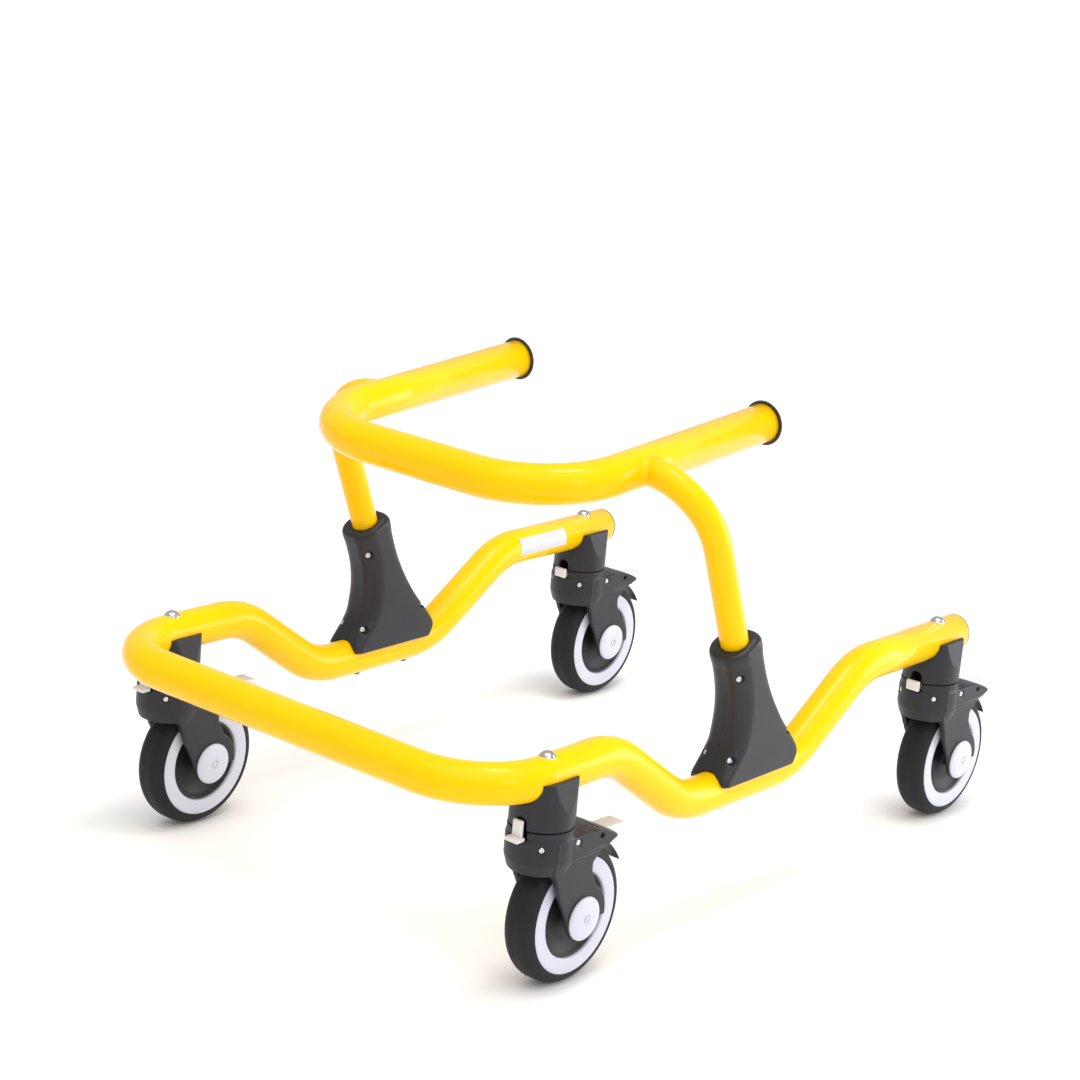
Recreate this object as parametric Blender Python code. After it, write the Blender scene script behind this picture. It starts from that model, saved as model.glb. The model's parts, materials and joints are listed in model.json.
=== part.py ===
"""Wheeled walker: a bent lower tube on four braked swivel casters, with a support ring on two
uprights that stand in moulded brackets.

The user stands inside, facing -Y, so +X is the user's left. +Z is up and the floor is z = 0.
Every size is in metres and every angle in radians.
"""

import math

import bmesh
import bpy
from mathutils import Matrix, Vector

MM = 0.001
GAP = 0.3 * MM  # clearance kept between pieces that touch
BEYOND = 4 * MM  # how far a cutter runs past the face that it opens

# Tubes
TUBE_RADIUS = 18 * MM
TUBE_WALL = 2 * MM
TUBE_BORE = TUBE_RADIUS - TUBE_WALL
UPRIGHT_RADIUS = 13 * MM
UPRIGHT_WALL = 1.8 * MM
UPRIGHT_BORE = UPRIGHT_RADIUS - UPRIGHT_WALL
TUBE_SIDES = 16
BORE_SIDES = 12
BEND_STEP = math.radians(13)
BORE_BEND_STEP = math.radians(18)

# Heights that stack up from the floor
WHEEL_RADIUS = 62.5 * MM
WHEEL_TOP = 2 * WHEEL_RADIUS
SWIVEL_Z = WHEEL_TOP + 26.5 * MM
HIGH_Z = SWIVEL_Z + TUBE_RADIUS + 22.5 * MM  # rail height over the casters
LOW_Z = HIGH_Z - 72 * MM  # rail height under the brackets

# Lower frame, along the centre of its tube
TRACK = 450 * MM  # between the centres of the two side rails
FRONT_Y = -379 * MM
REAR_Y = 330 * MM
DIP_START_Y = -215.5 * MM
DIP_FLOOR_Y = -112 * MM
RISE_START_Y = 49.5 * MM
RISE_END_Y = 159 * MM
CORNER_RADIUS = 73 * MM
DIP_TOP_RADIUS = 86 * MM
DIP_BASE_RADIUS = 91 * MM
RISE_BASE_RADIUS = 90 * MM
RISE_TOP_RADIUS = 80 * MM

# Upper frame
RING_SPAN = 297 * MM  # between the centres of the two arms
RING_FRONT_Y = -230 * MM
RING_REAR_Y = 69 * MM
RING_FRONT_Z = 399 * MM
RING_REAR_Z = 423.5 * MM
RING_CORNER_RADIUS = 85 * MM
UPRIGHT_Y = -115.5 * MM  # where the uprights leave the arms
UPRIGHT_BEND_RADIUS = 64 * MM
UPRIGHT_LEAN = math.radians(23.1)  # the foot is behind the head
UPRIGHT_FOOT_RISE = 27 * MM  # foot of the tube above the low rail's centre

# Brackets. Each section is its height above the rail's centre, its reach in front of and behind the
# upright's axis, how much its rear edge stands above its front edge, half its width, and its corner.
FOOT_HALF_WIDTH = TUBE_RADIUS + 3.8 * MM
COLLAR_HALF_WIDTH = UPRIGHT_RADIUS + 7.2 * MM
BRACKET_SECTIONS = (
    (9 * MM, 74.6 * MM, 32.4 * MM, 0 * MM, FOOT_HALF_WIDTH, 4 * MM),
    (16 * MM, 72.1 * MM, 39.9 * MM, 4 * MM, FOOT_HALF_WIDTH, 5 * MM),
    (24 * MM, 64.2 * MM, 41.3 * MM, 4 * MM, FOOT_HALF_WIDTH - 0.2 * MM, 7 * MM),
    (39.5 * MM, 50.1 * MM, 34.4 * MM, 5 * MM, FOOT_HALF_WIDTH - 0.4 * MM, 9 * MM),
    (57 * MM, 38.8 * MM, 25.6 * MM, 6 * MM, FOOT_HALF_WIDTH - 0.8 * MM, 11 * MM),
    (76 * MM, 29.8 * MM, 19.8 * MM, 8 * MM, FOOT_HALF_WIDTH - 1.3 * MM, 12 * MM),
    (100 * MM, 23.6 * MM, 17.3 * MM, 12 * MM, COLLAR_HALF_WIDTH, 13 * MM),
)
COLLAR_RISE = 137 * MM  # widest ring of the collar at the top of a bracket
COLLAR_FRONT = UPRIGHT_RADIUS + 8.5 * MM
COLLAR_REAR = UPRIGHT_RADIUS + 7.5 * MM
COLLAR_CORNER = 13 * MM
COLLAR_LIP = 2.2 * MM
SEAM = 0.3 * MM  # between the two halves of a bracket
CLAMP_SCREW_PLACES = (("upper", 108 * MM, 18.8 * MM), ("lower", 31 * MM, 52.5 * MM))
SCREW_RADIUS = 2 * MM
SCREW_HEAD_RADIUS = 3.4 * MM
SCREW_HEAD_HEIGHT = 2.6 * MM
SCREW_INNER_REACH = 12 * MM
SCREW_SEAT_X = 13.6 * MM
SADDLE_BOLT_PLACES = (("front", -56.4 * MM), ("rear", 11.6 * MM))
SADDLE_BOLT_RADIUS = 2.5 * MM
SADDLE_BOLT_RISE = 24 * MM
SADDLE_HEAD_RADIUS = 3.8 * MM
SADDLE_HEAD_HEIGHT = 3 * MM

# End plugs
PLUG_DEPTH = 14 * MM
RING_PLUG_RADIUS = TUBE_RADIUS + 3 * MM
RING_PLUG_HEIGHT = 3.4 * MM
RAIL_PLUG_HEIGHT = 2.2 * MM

# Casters, each in its own frame: x and y from the stem's axis, z from the floor
FRONT_STEM_Y = -302.5 * MM
REAR_STEM_Y = 297 * MM
TRAIL = 37.5 * MM  # the axle is behind the stem by this much
WHEEL_SIDES = 24
TREAD_HALF_WIDTH = 16 * MM
TREAD_CORNER = 12 * MM
RING_OUTER = 52 * MM
RING_INNER = 38 * MM
RING_HALF_WIDTH = 15.4 * MM
CORE_RIM_HALF_WIDTH = 12.5 * MM
CORE_WEB_HALF_WIDTH = 7 * MM
BOSS_RADIUS = 9.5 * MM
AXLE_RADIUS = 4 * MM
AXLE_HEAD_RADIUS = 8 * MM
AXLE_HEAD_HEIGHT = 3 * MM
AXLE_CLEARANCE = 0.1 * MM
CAP_RADIUS = 19.5 * MM
CAP_HEIGHT = 3.4 * MM

ADAPTOR_RADIUS = TUBE_RADIUS + 10 * MM
ADAPTOR_RISE = 1.5 * MM  # its cheeks stand above the rail's centre by this much
CHEEK_TOP_X = TUBE_RADIUS + 5.4 * MM
CHEEK_BASE_DROP = 24 * MM
SWIVEL_GAP = 0.5 * MM
ROUND_SIDES = 24
SMALL_SIDES = 8
STEM_SIDES = 12
AXLE_SIDES = 14

STEM_RADIUS = 4 * MM
STEM_HEAD_RADIUS = 7.2 * MM
STEM_HEAD_HEIGHT = 4.4 * MM
STEM_FLANGE_RADIUS = 6.5 * MM
STEM_FLANGE_HEIGHT = 3 * MM

CROWN_RADIUS = ADAPTOR_RADIUS + 1.5 * MM
CROWN_NECK_RADIUS = CROWN_RADIUS - 0.7 * MM
CROWN_SIDE_X = CROWN_RADIUS - MM  # the flat sides of the hood
CROWN_STEP_DROP = 8 * MM  # the crown's levels, down from the swivel
CROWN_WAIST_DROP = 28 * MM
CROWN_BASE_DROP = 38.5 * MM
CROWN_BASE_RADIUS = CROWN_RADIUS - 3 * MM
CROWN_BASE_Z = SWIVEL_Z - CROWN_BASE_DROP
CROWN_WAIST_Z = SWIVEL_Z - CROWN_WAIST_DROP
STEM_FLANGE_Z = CROWN_BASE_Z + 6 * MM
LEG_INNER_X = TREAD_HALF_WIDTH + 3.5 * MM
LEG_THICKNESS = 4 * MM  # at the axle; the legs spread towards the crown
LEG_TOP_X = CROWN_SIDE_X - MM
LEG_SPREAD_Z = WHEEL_RADIUS + CAP_RADIUS + 1.5 * MM  # above this the legs spread
LEG_END_RADIUS = 20 * MM
LEG_REAR = ((13.5 * MM, 0), (11.5 * MM, 3 * MM), (4 * MM, 12 * MM), (4.5 * MM, 20 * MM),
            (8.5 * MM, 27 * MM))  # its rear edge, as (y from the axle, drop from the hood)
LOBE_RADIUS = 30 * MM
ARCH_CLEARANCE = 3.5 * MM
RECESS_RADIUS = 3.2 * MM
RECESS_DEPTH = 1.6 * MM
SIDE_RECESS_Y = 16.5 * MM
RECESS_DROP = 14 * MM
FRONT_RECESS_ANGLE = math.radians(-47.7)

# The hood over the brake pedal: its top edge in the side view as (y, drop from the swivel), and
# the plan view of its rounded rear corner as (x in from the flat side, y).
HOOD_TOP = ((-10 * MM, 8.1 * MM), (30 * MM, 8.3 * MM), (44 * MM, 9.9 * MM), (55 * MM, 12.5 * MM),
            (64 * MM, 15.9 * MM), (72 * MM, 19.3 * MM), (74 * MM, 20.5 * MM))
HOOD_LIP = ((73.4 * MM, 22.9 * MM), (64 * MM, 25.2 * MM), (51 * MM, 27.2 * MM))
HOOD_CORNER = ((0, 52 * MM), (1.2 * MM, 59 * MM), (4.5 * MM, 65.5 * MM), (10 * MM, 70.5 * MM),
               (18 * MM, 74.5 * MM))
HOOD_END_Y = 74 * MM

PEDAL_PIVOT = (48.3 * MM, SWIVEL_Z - 15.9 * MM)
PEDAL_HUB_RADIUS = 3 * MM
PEDAL_PIN_RADIUS = 2.2 * MM
PEDAL_HALF_WIDTH = 9 * MM
PEDAL_END_Y = 104 * MM
PEDAL_TOP_Z = SWIVEL_Z - 22.1 * MM  # where it comes out of the hood
PEDAL_FALL = 1.4 * MM  # from there to its end
PEDAL_END_THICKNESS = 7 * MM
PEDAL_ROOT_THICKNESS = 5 * MM
SHOE_THICKNESS = 2.2 * MM
SHOE_START_ANGLE = math.radians(52)
SHOE_END_ANGLE = math.radians(28)
SHOE_START_CLEARANCE = 4.5 * MM
SHOE_END_CLEARANCE = 7 * MM

TAB_PIVOT = (-30.4 * MM, SWIVEL_Z - 5.5 * MM)
TAB_HALF_WIDTH = 7 * MM
TAB_TONGUE_HALF_WIDTH = 5.5 * MM
TAB_TONGUE_LENGTH = 19 * MM
TAB_THICKNESS = 3.4 * MM
TAB_LIP_HEIGHT = 7.5 * MM
TAB_OPEN_ANGLE = math.radians(90)


# ------------------------------------------------------------------ shape helpers

def arc(centre, radius, start, end, count):
    """Points on an arc in a plane, from one angle to another."""
    angles = [start + (end - start) * i / count for i in range(count + 1)]
    return [(centre[0] + radius * math.cos(a), centre[1] + radius * math.sin(a)) for a in angles]


def rounded_path(points, radii, step):
    """A polyline's points with each inner corner turned into an arc of its own radius."""
    points = [Vector(point) for point in points]
    path = [points[0]]
    for before, corner, after, radius in zip(points, points[1:], points[2:], radii):
        back = (before - corner).normalized()
        on = (after - corner).normalized()
        half = back.angle(on) / 2
        reach = radius / math.tan(half)
        centre = corner + (back + on).normalized() * (radius / math.sin(half))
        start = corner + back * reach - centre
        end = corner + on * reach - centre
        turn = math.pi - 2 * half
        count = max(2, math.ceil(turn / step))
        axis = start.cross(end).normalized()
        for i in range(count + 1):
            path.append(centre + Matrix.Rotation(turn * i / count, 3, axis) @ start)
    path.append(points[-1])
    return path


def lengthened(path, extra):
    """The path with both ends carried straight on."""
    first = path[0] + (path[0] - path[1]).normalized() * extra
    last = path[-1] + (path[-1] - path[-2]).normalized() * extra
    return [first] + path[1:-1] + [last]


def finished(bm):
    """Faces turned outwards, on a mesh that is ready to use."""
    bmesh.ops.recalc_face_normals(bm, faces=bm.faces)
    mesh = bpy.data.meshes.new("shape")
    bm.to_mesh(mesh)
    bm.free()
    return mesh


def bridged(rings):
    """A closed solid through rings of points that have the same number of points each."""
    bm = bmesh.new()
    loops = [[bm.verts.new(point) for point in ring] for ring in rings]
    count = len(loops[0])
    for low, high in zip(loops, loops[1:]):
        for i in range(count):
            j = (i + 1) % count
            bm.faces.new((low[i], low[j], high[j], high[i]))
    bm.faces.new(loops[0])
    bm.faces.new(loops[-1])
    return finished(bm)


def round_bar(path, radius, sides):
    """A solid round bar along a path, with no twist between its rings."""
    rings = []
    side = None
    for i, point in enumerate(path):
        ahead = path[min(i + 1, len(path) - 1)]
        behind = path[max(i - 1, 0)]
        along = (ahead - point).normalized() + (point - behind).normalized()
        along.normalize()
        if side is None:
            side = along.cross(Vector((0, 0, 1))).normalized()
        side = (side - along * side.dot(along)).normalized()
        up = side.cross(along)
        rings.append([point + side * (radius * x) + up * (radius * y)
                      for x, y in arc((0, 0), 1, 0, math.tau * (1 - 1 / sides), sides - 1)])
    return bridged(rings)


def turned(profile, sides, closed=False):
    """A solid turned about Z from (radius, height) points."""
    bm = bmesh.new()
    verts = [bm.verts.new((radius, 0, height)) for radius, height in profile]
    edges = [bm.edges.new(pair) for pair in zip(verts, verts[1:])]
    if closed:
        edges.append(bm.edges.new((verts[-1], verts[0])))
    bmesh.ops.spin(bm, geom=verts + edges, cent=(0, 0, 0), axis=(0, 0, 1), angle=math.tau,
                   steps=sides, use_merge=True)
    bmesh.ops.remove_doubles(bm, verts=bm.verts, dist=1e-6)
    return finished(bm)


def rod(radius, low, high, sides=SMALL_SIDES):
    """A solid cylinder about Z."""
    return turned(((0, low), (radius, low), (radius, high), (0, high)), sides)


def prism(outline, low, high):
    """A (y, z) outline extruded along X."""
    return bridged([[(x, y, z) for y, z in outline] for x in (low, high)])


def slab(low, high):
    """A box between two corners."""
    outline = ((low[1], low[2]), (high[1], low[2]), (high[1], high[2]), (low[1], high[2]))
    return prism(outline, low[0], high[0])


def moved(mesh, matrix):
    """The mesh carried by a matrix."""
    mesh.transform(matrix)
    return mesh


def along_x(mesh):
    """A mesh turned about Z laid along +X instead."""
    return moved(mesh, Matrix.Rotation(math.pi / 2, 4, "Y"))


def placed(mesh, x=0.0, y=0.0, z=0.0):
    """The mesh shifted."""
    return moved(mesh, Matrix.Translation((x, y, z)))


def grouped(meshes):
    """Several shapes in one mesh, for use as one cutter."""
    bm = bmesh.new()
    for mesh in meshes:
        bm.from_mesh(mesh)
        bpy.data.meshes.remove(mesh)
    return finished(bm)


def combined(mesh, other, operation):
    """The exact Boolean of two closed meshes; both are used up."""
    body = bpy.data.objects.new("body", mesh)
    tool = bpy.data.objects.new("tool", other)
    for item in (body, tool):
        bpy.context.scene.collection.objects.link(item)
    modifier = body.modifiers.new(operation, "BOOLEAN")
    modifier.operation = operation
    modifier.solver = "EXACT"
    modifier.object = tool
    bpy.context.view_layer.update()
    depsgraph = bpy.context.evaluated_depsgraph_get()
    result = bpy.data.meshes.new_from_object(body.evaluated_get(depsgraph))
    for item in (body, tool):
        bpy.data.objects.remove(item)
    for spent in (mesh, other):
        bpy.data.meshes.remove(spent)
    return result


def cut(mesh, *tools):
    """The mesh with each tool taken out of it."""
    for tool in tools:
        mesh = combined(mesh, tool, "DIFFERENCE")
    return mesh


def joined(mesh, *others):
    """One solid out of several that overlap."""
    for other in others:
        mesh = combined(mesh, other, "UNION")
    return mesh


# ------------------------------------------------------------------ objects and materials

FINISHES = {
    "yellow_powder_coat": ((0.95, 0.66, 0.0), 0.22, 0.0),
    "bracket_plastic": ((0.05, 0.05, 0.055), 0.42, 0.0),
    "plug_plastic": ((0.03, 0.03, 0.032), 0.4, 0.0),
    "adaptor_plastic": ((0.055, 0.055, 0.06), 0.42, 0.0),
    "fork_plastic": ((0.06, 0.06, 0.066), 0.4, 0.0),
    "pedal_plastic": ((0.75, 0.76, 0.78), 0.35, 0.0),
    "tab_plastic": ((0.78, 0.78, 0.8), 0.35, 0.0),
    "tyre_rubber": ((0.045, 0.045, 0.05), 0.55, 0.0),
    "wheel_ring_plastic": ((0.72, 0.73, 0.8), 0.45, 0.0),
    "wheel_core_plastic": ((0.04, 0.04, 0.045), 0.45, 0.0),
    "cap_plastic": ((0.76, 0.77, 0.82), 0.35, 0.0),
    "chrome": ((0.75, 0.75, 0.76), 0.12, 1.0),
    "screw_steel": ((0.6, 0.6, 0.62), 0.25, 1.0),
    "black_steel": ((0.08, 0.08, 0.08), 0.35, 1.0),
    "axle_steel": ((0.5, 0.5, 0.52), 0.3, 1.0),
}


def material(name):
    """The named finish as a Principled material."""
    if name in bpy.data.materials:
        return bpy.data.materials[name]
    colour, roughness, metallic = FINISHES[name]
    made = bpy.data.materials.new(name)
    made.use_nodes = True
    shader = made.node_tree.nodes["Principled BSDF"]
    shader.inputs["Base Color"].default_value = (*colour, 1)
    shader.inputs["Roughness"].default_value = roughness
    shader.inputs["Metallic"].default_value = metallic
    return made


def add(name, mesh, finish, origin=(0, 0, 0), parent=None):
    """One sub-part, its mesh given from its own origin."""
    mesh.name = name
    mesh.materials.clear()
    mesh.materials.append(material(finish))
    mesh.shade_smooth()
    mesh.set_sharp_from_angle(angle=math.radians(35))
    part = bpy.data.objects.new(name, mesh)
    part.location = origin
    part.parent = parent
    bpy.context.scene.collection.objects.link(part)
    return part


# ------------------------------------------------------------------ frame tubes

def rail_path(step):
    """Centre of the lower tube, from its right rear end round the front to its left rear end."""
    x = TRACK / 2
    profile = ((REAR_Y, HIGH_Z), (RISE_END_Y, HIGH_Z), (RISE_START_Y, LOW_Z),
               (DIP_FLOOR_Y, LOW_Z), (DIP_START_Y, HIGH_Z), (FRONT_Y, HIGH_Z))
    right = [(-x, y, z) for y, z in profile]
    left = [(x, y, z) for y, z in reversed(profile)]
    bends = [RISE_TOP_RADIUS, RISE_BASE_RADIUS, DIP_BASE_RADIUS, DIP_TOP_RADIUS, CORNER_RADIUS]
    return rounded_path(right + left, bends + bends[::-1], step)


def arm_height(y):
    """Height of the ring's sloping arms at a place along Y."""
    share = (y - RING_FRONT_Y) / (RING_REAR_Y - RING_FRONT_Y)
    return RING_FRONT_Z + share * (RING_REAR_Z - RING_FRONT_Z)


def ring_path(step):
    """Centre of the support ring, from its right end round the front to its left end."""
    x = RING_SPAN / 2
    corners = ((-x, RING_REAR_Y, RING_REAR_Z), (-x, RING_FRONT_Y, RING_FRONT_Z),
               (x, RING_FRONT_Y, RING_FRONT_Z), (x, RING_REAR_Y, RING_REAR_Z))
    return rounded_path(corners, (RING_CORNER_RADIUS, RING_CORNER_RADIUS), step)


def upright_down():
    """Direction of an upright's straight part, downwards."""
    return Vector((0, math.sin(UPRIGHT_LEAN), -math.cos(UPRIGHT_LEAN)))


def upright_y(z):
    """Where an upright's axis is along Y at a height."""
    return UPRIGHT_Y + (arm_height(UPRIGHT_Y) - z) * math.tan(UPRIGHT_LEAN)


def upright_path(side, step, start_x):
    """Centre of one upright, from the ring's arm to its foot."""
    x = side * TRACK / 2
    top = arm_height(UPRIGHT_Y)
    foot = LOW_Z + UPRIGHT_FOOT_RISE
    points = ((side * start_x, UPRIGHT_Y, top), (x, UPRIGHT_Y, top), (x, upright_y(foot), foot))
    return rounded_path(points, (UPRIGHT_BEND_RADIUS,), step)


def rail_tool():
    """The lower tube's outside and its clearance, as a cutter for what seats on it."""
    return round_bar(rail_path(BEND_STEP), TUBE_RADIUS + GAP, TUBE_SIDES)


def stems():
    """Each caster's name and the place of its stem."""
    x = TRACK / 2
    return (("front_left", x, FRONT_STEM_Y), ("front_right", -x, FRONT_STEM_Y),
            ("rear_left", x, REAR_STEM_Y), ("rear_right", -x, REAR_STEM_Y))


def saddle_bolt_places():
    """Each saddle bolt's name and place along the low rails."""
    for side, word in ((1, "left"), (-1, "right")):
        for end, offset in SADDLE_BOLT_PLACES:
            yield f"{end}_{word}", side * TRACK / 2, upright_y(LOW_Z) + offset


def add_lower_frame():
    """One bent tube, open at the back, drilled for the stems and the saddle bolts."""
    outside = round_bar(rail_path(BEND_STEP), TUBE_RADIUS, TUBE_SIDES)
    inside = round_bar(lengthened(rail_path(BORE_BEND_STEP), BEYOND), TUBE_BORE, BORE_SIDES)
    reach = TUBE_RADIUS + BEYOND
    hole = rod(STEM_RADIUS + GAP, -reach, reach, STEM_SIDES)
    holes = [placed(hole.copy(), x, y, HIGH_Z) for _, x, y in stems()]
    bpy.data.meshes.remove(hole)
    for _, x, y in saddle_bolt_places():
        holes.append(placed(rod(SADDLE_BOLT_RADIUS + GAP, -reach, reach), x, y, LOW_Z))
    add("lower_frame", cut(outside, inside, grouped(holes)), "yellow_powder_coat")


def add_upper_frame():
    """The ring and its two uprights, welded into one piece of hollow tube."""
    outside = round_bar(ring_path(BEND_STEP), TUBE_RADIUS, TUBE_SIDES)
    hollows = [round_bar(lengthened(ring_path(BORE_BEND_STEP), BEYOND), TUBE_BORE, BORE_SIDES)]
    for side in (1, -1):
        bar = upright_path(side, BEND_STEP, RING_SPAN / 2)
        outside = joined(outside, round_bar(bar, UPRIGHT_RADIUS, TUBE_SIDES))
        clear_x = RING_SPAN / 2 + TUBE_RADIUS + UPRIGHT_WALL
        core = [point for point in upright_path(side, BORE_BEND_STEP, RING_SPAN / 2)
                if abs(point.x) > clear_x]
        core[-1] += upright_down() * BEYOND
        hollows.append(round_bar(core, UPRIGHT_BORE, BORE_SIDES))
    add("upper_frame", cut(outside, *hollows), "yellow_powder_coat")


def plug(radius, height):
    """A tube's end plug: its flange rises along +Z from the tube's end, its spigot goes down."""
    spigot = TUBE_BORE * math.cos(math.pi / BORE_SIDES) - GAP
    crown = height * 0.4
    profile = ((0, -PLUG_DEPTH), (spigot, -PLUG_DEPTH), (spigot, GAP), (radius, GAP),
               (radius, GAP + crown), (radius - crown, GAP + height), (0, GAP + height))
    return turned(profile, TUBE_SIDES)


def add_plugs():
    """Black plugs in the four open tube ends."""
    kinds = (("ring_plug", ring_path(BEND_STEP), RING_PLUG_RADIUS, RING_PLUG_HEIGHT),
             ("frame_plug", rail_path(BEND_STEP), TUBE_RADIUS, RAIL_PLUG_HEIGHT))
    for name, path, radius, height in kinds:
        ends = (("right", path[0], path[0] - path[1]), ("left", path[-1], path[-1] - path[-2]))
        for word, end, outward in ends:
            turn = outward.to_track_quat("Z", "Y").to_matrix().to_4x4()
            add(f"{name}_{word}", moved(plug(radius, height), turn), "plug_plastic", origin=end)


# ------------------------------------------------------------------ brackets

def bracket_section(front, rear, half_width, corner):
    """A rounded rectangle between a front point and a rear point of the side view."""
    depth = (rear - front).length
    along = (rear - front) / depth
    ring = []
    quarters = ((1, depth - corner, 0), (-1, depth - corner, 1), (-1, corner, 2), (1, corner, 3))
    for side, at, quarter in quarters:
        centre = (side * (half_width - corner), at)
        start = quarter * math.pi / 2
        for x, s in arc(centre, corner, start, start + math.pi / 2, 4):
            ring.append(front + along * s + Vector((x, 0, 0)))
    return ring


def bracket_rings():
    """The bracket's sections from its foot to its collar, about x = 0."""
    rings = []
    for rise, front, rear, tilt, half_width, corner in BRACKET_SECTIONS:
        z = LOW_Z + rise
        y = upright_y(z)
        ends = (Vector((0, y - front, z - tilt / 2)), Vector((0, y + rear, z + tilt / 2)))
        rings.append(bracket_section(*ends, half_width, corner))
    up = -upright_down()
    level = Vector((0, math.cos(UPRIGHT_LEAN), math.sin(UPRIGHT_LEAN)))
    z = LOW_Z + COLLAR_RISE
    centre = Vector((0, upright_y(z), z))
    for inset, lift in ((0, 0), (0.3 * COLLAR_LIP, 0.7 * COLLAR_LIP), (COLLAR_LIP, COLLAR_LIP)):
        middle = centre + up * lift
        ends = (middle - level * (COLLAR_FRONT - inset), middle + level * (COLLAR_REAR - inset))
        rings.append(bracket_section(*ends, COLLAR_HALF_WIDTH - inset, COLLAR_CORNER - inset))
    return rings


def screw_place(rise, front):
    """Where a clamp screw crosses the side view."""
    z = LOW_Z + rise
    return upright_y(z) - front, z


def bracket_cuts(side):
    """Everything that both halves of one bracket are cut away for."""
    x = side * TRACK / 2
    path = upright_path(side, BEND_STEP, RING_SPAN / 2)
    straight = [path[-2], path[-1] + upright_down() * GAP]
    tools = [rail_tool(), round_bar(straight, UPRIGHT_RADIUS + GAP, TUBE_SIDES)]
    for _, offset in SADDLE_BOLT_PLACES:
        shaft = rod(SADDLE_BOLT_RADIUS + GAP, -BEYOND, SADDLE_BOLT_RISE + GAP)
        tools.append(placed(shaft, x, upright_y(LOW_Z) + offset, LOW_Z))
    reach = COLLAR_HALF_WIDTH + BEYOND
    for _, rise, front in CLAMP_SCREW_PLACES:
        y, z = screw_place(rise, front)
        hole = along_x(rod(SCREW_RADIUS + GAP, -SCREW_INNER_REACH - GAP, reach))
        seat = along_x(rod(SCREW_HEAD_RADIUS + GAP, SCREW_SEAT_X, reach))
        for tool in (hole, seat):
            if side < 0:
                tool = moved(tool, Matrix.Rotation(math.pi, 4, "Z"))
            tools.append(placed(tool, x, y, z))
    return tools


def add_brackets():
    """Two moulded halves on each side, split down the middle and screwed together."""
    for side, word in ((1, "left"), (-1, "right")):
        x = side * TRACK / 2
        for half, name in ((side, "outer"), (-side, "inner")):
            body = placed(bridged(bracket_rings()), x)
            body = cut(body, *bracket_cuts(side))
            reach = half * (TRACK / 4)
            near = half * SEAM / 2
            low = (x + min(near, reach), REAR_Y * -1, 0)
            high = (x + max(near, reach), REAR_Y, RING_REAR_Z)
            body = combined(body, slab(low, high), "INTERSECT")
            add(f"bracket_{name}_{word}", body, "bracket_plastic")


def add_bracket_fasteners():
    """Clamp screws through both halves, and saddle bolts up through the rail."""
    shank = ((0, -SCREW_INNER_REACH), (SCREW_RADIUS, -SCREW_INNER_REACH),
             (SCREW_RADIUS, SCREW_SEAT_X + GAP), (SCREW_HEAD_RADIUS, SCREW_SEAT_X + GAP))
    top = SCREW_SEAT_X + GAP + SCREW_HEAD_HEIGHT
    head = ((SCREW_HEAD_RADIUS, top), (0, top))
    for side, word in ((1, "left"), (-1, "right")):
        for level, rise, front in CLAMP_SCREW_PLACES:
            y, z = screw_place(rise, front)
            screw = along_x(turned(shank + head, SMALL_SIDES))
            if side < 0:
                screw = moved(screw, Matrix.Rotation(math.pi, 4, "Z"))
            add(f"clamp_screw_{level}_{word}", screw, "screw_steel", origin=(side * TRACK / 2, y, z))
    seat = -TUBE_RADIUS - GAP
    bolt = ((0, seat - SADDLE_HEAD_HEIGHT), (SADDLE_HEAD_RADIUS, seat - SADDLE_HEAD_HEIGHT),
            (SADDLE_HEAD_RADIUS, seat), (SADDLE_BOLT_RADIUS, seat),
            (SADDLE_BOLT_RADIUS, SADDLE_BOLT_RISE), (0, SADDLE_BOLT_RISE))
    for name, x, y in saddle_bolt_places():
        add(f"saddle_bolt_{name}", turned(bolt, SMALL_SIDES), "black_steel", origin=(x, y, LOW_Z))


# ------------------------------------------------------------------ casters

def axle_centre():
    """The wheel's axle in the caster's side view."""
    return TRAIL, WHEEL_RADIUS


def tab_tongue_slot():
    """The room in the adaptor that the lock tab's tongue swings through."""
    half = TAB_TONGUE_HALF_WIDTH + 1.5 * MM
    top = TAB_PIVOT[1] + TAB_TONGUE_LENGTH + 2 * MM
    inner = TAB_PIVOT[0] + TAB_TONGUE_LENGTH + MM
    return slab((-half, -ADAPTOR_RADIUS - BEYOND, SWIVEL_Z - BEYOND), (half, inner, top))


def add_adaptor(name, x, y):
    """Fixed housing between the rail and the swivel, with a cheek up each side of the rail."""
    low = SWIVEL_Z + SWIVEL_GAP / 2
    top = HIGH_Z + ADAPTOR_RISE
    slope_z = HIGH_Z - CHEEK_BASE_DROP
    body = rod(ADAPTOR_RADIUS, low, top, ROUND_SIDES)
    far = ADAPTOR_RADIUS + BEYOND
    slope = (CHEEK_TOP_X - ADAPTOR_RADIUS) / (top - slope_z)
    over_x = CHEEK_TOP_X + slope * BEYOND
    wedge = ((ADAPTOR_RADIUS, slope_z), (far, slope_z), (far, top + BEYOND), (over_x, top + BEYOND))
    tools = [rod(STEM_RADIUS + GAP, low - BEYOND, top, STEM_SIDES), tab_tongue_slot()]
    for side in (1, -1):
        tools.append(bridged([[(side * a, b, c) for a, c in wedge] for b in (-far, far)]))
    tools.append(placed(rail_tool(), -x, -y))
    add(f"caster_adaptor_{name}", cut(body, *tools), "adaptor_plastic", origin=(x, y, 0))


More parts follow.
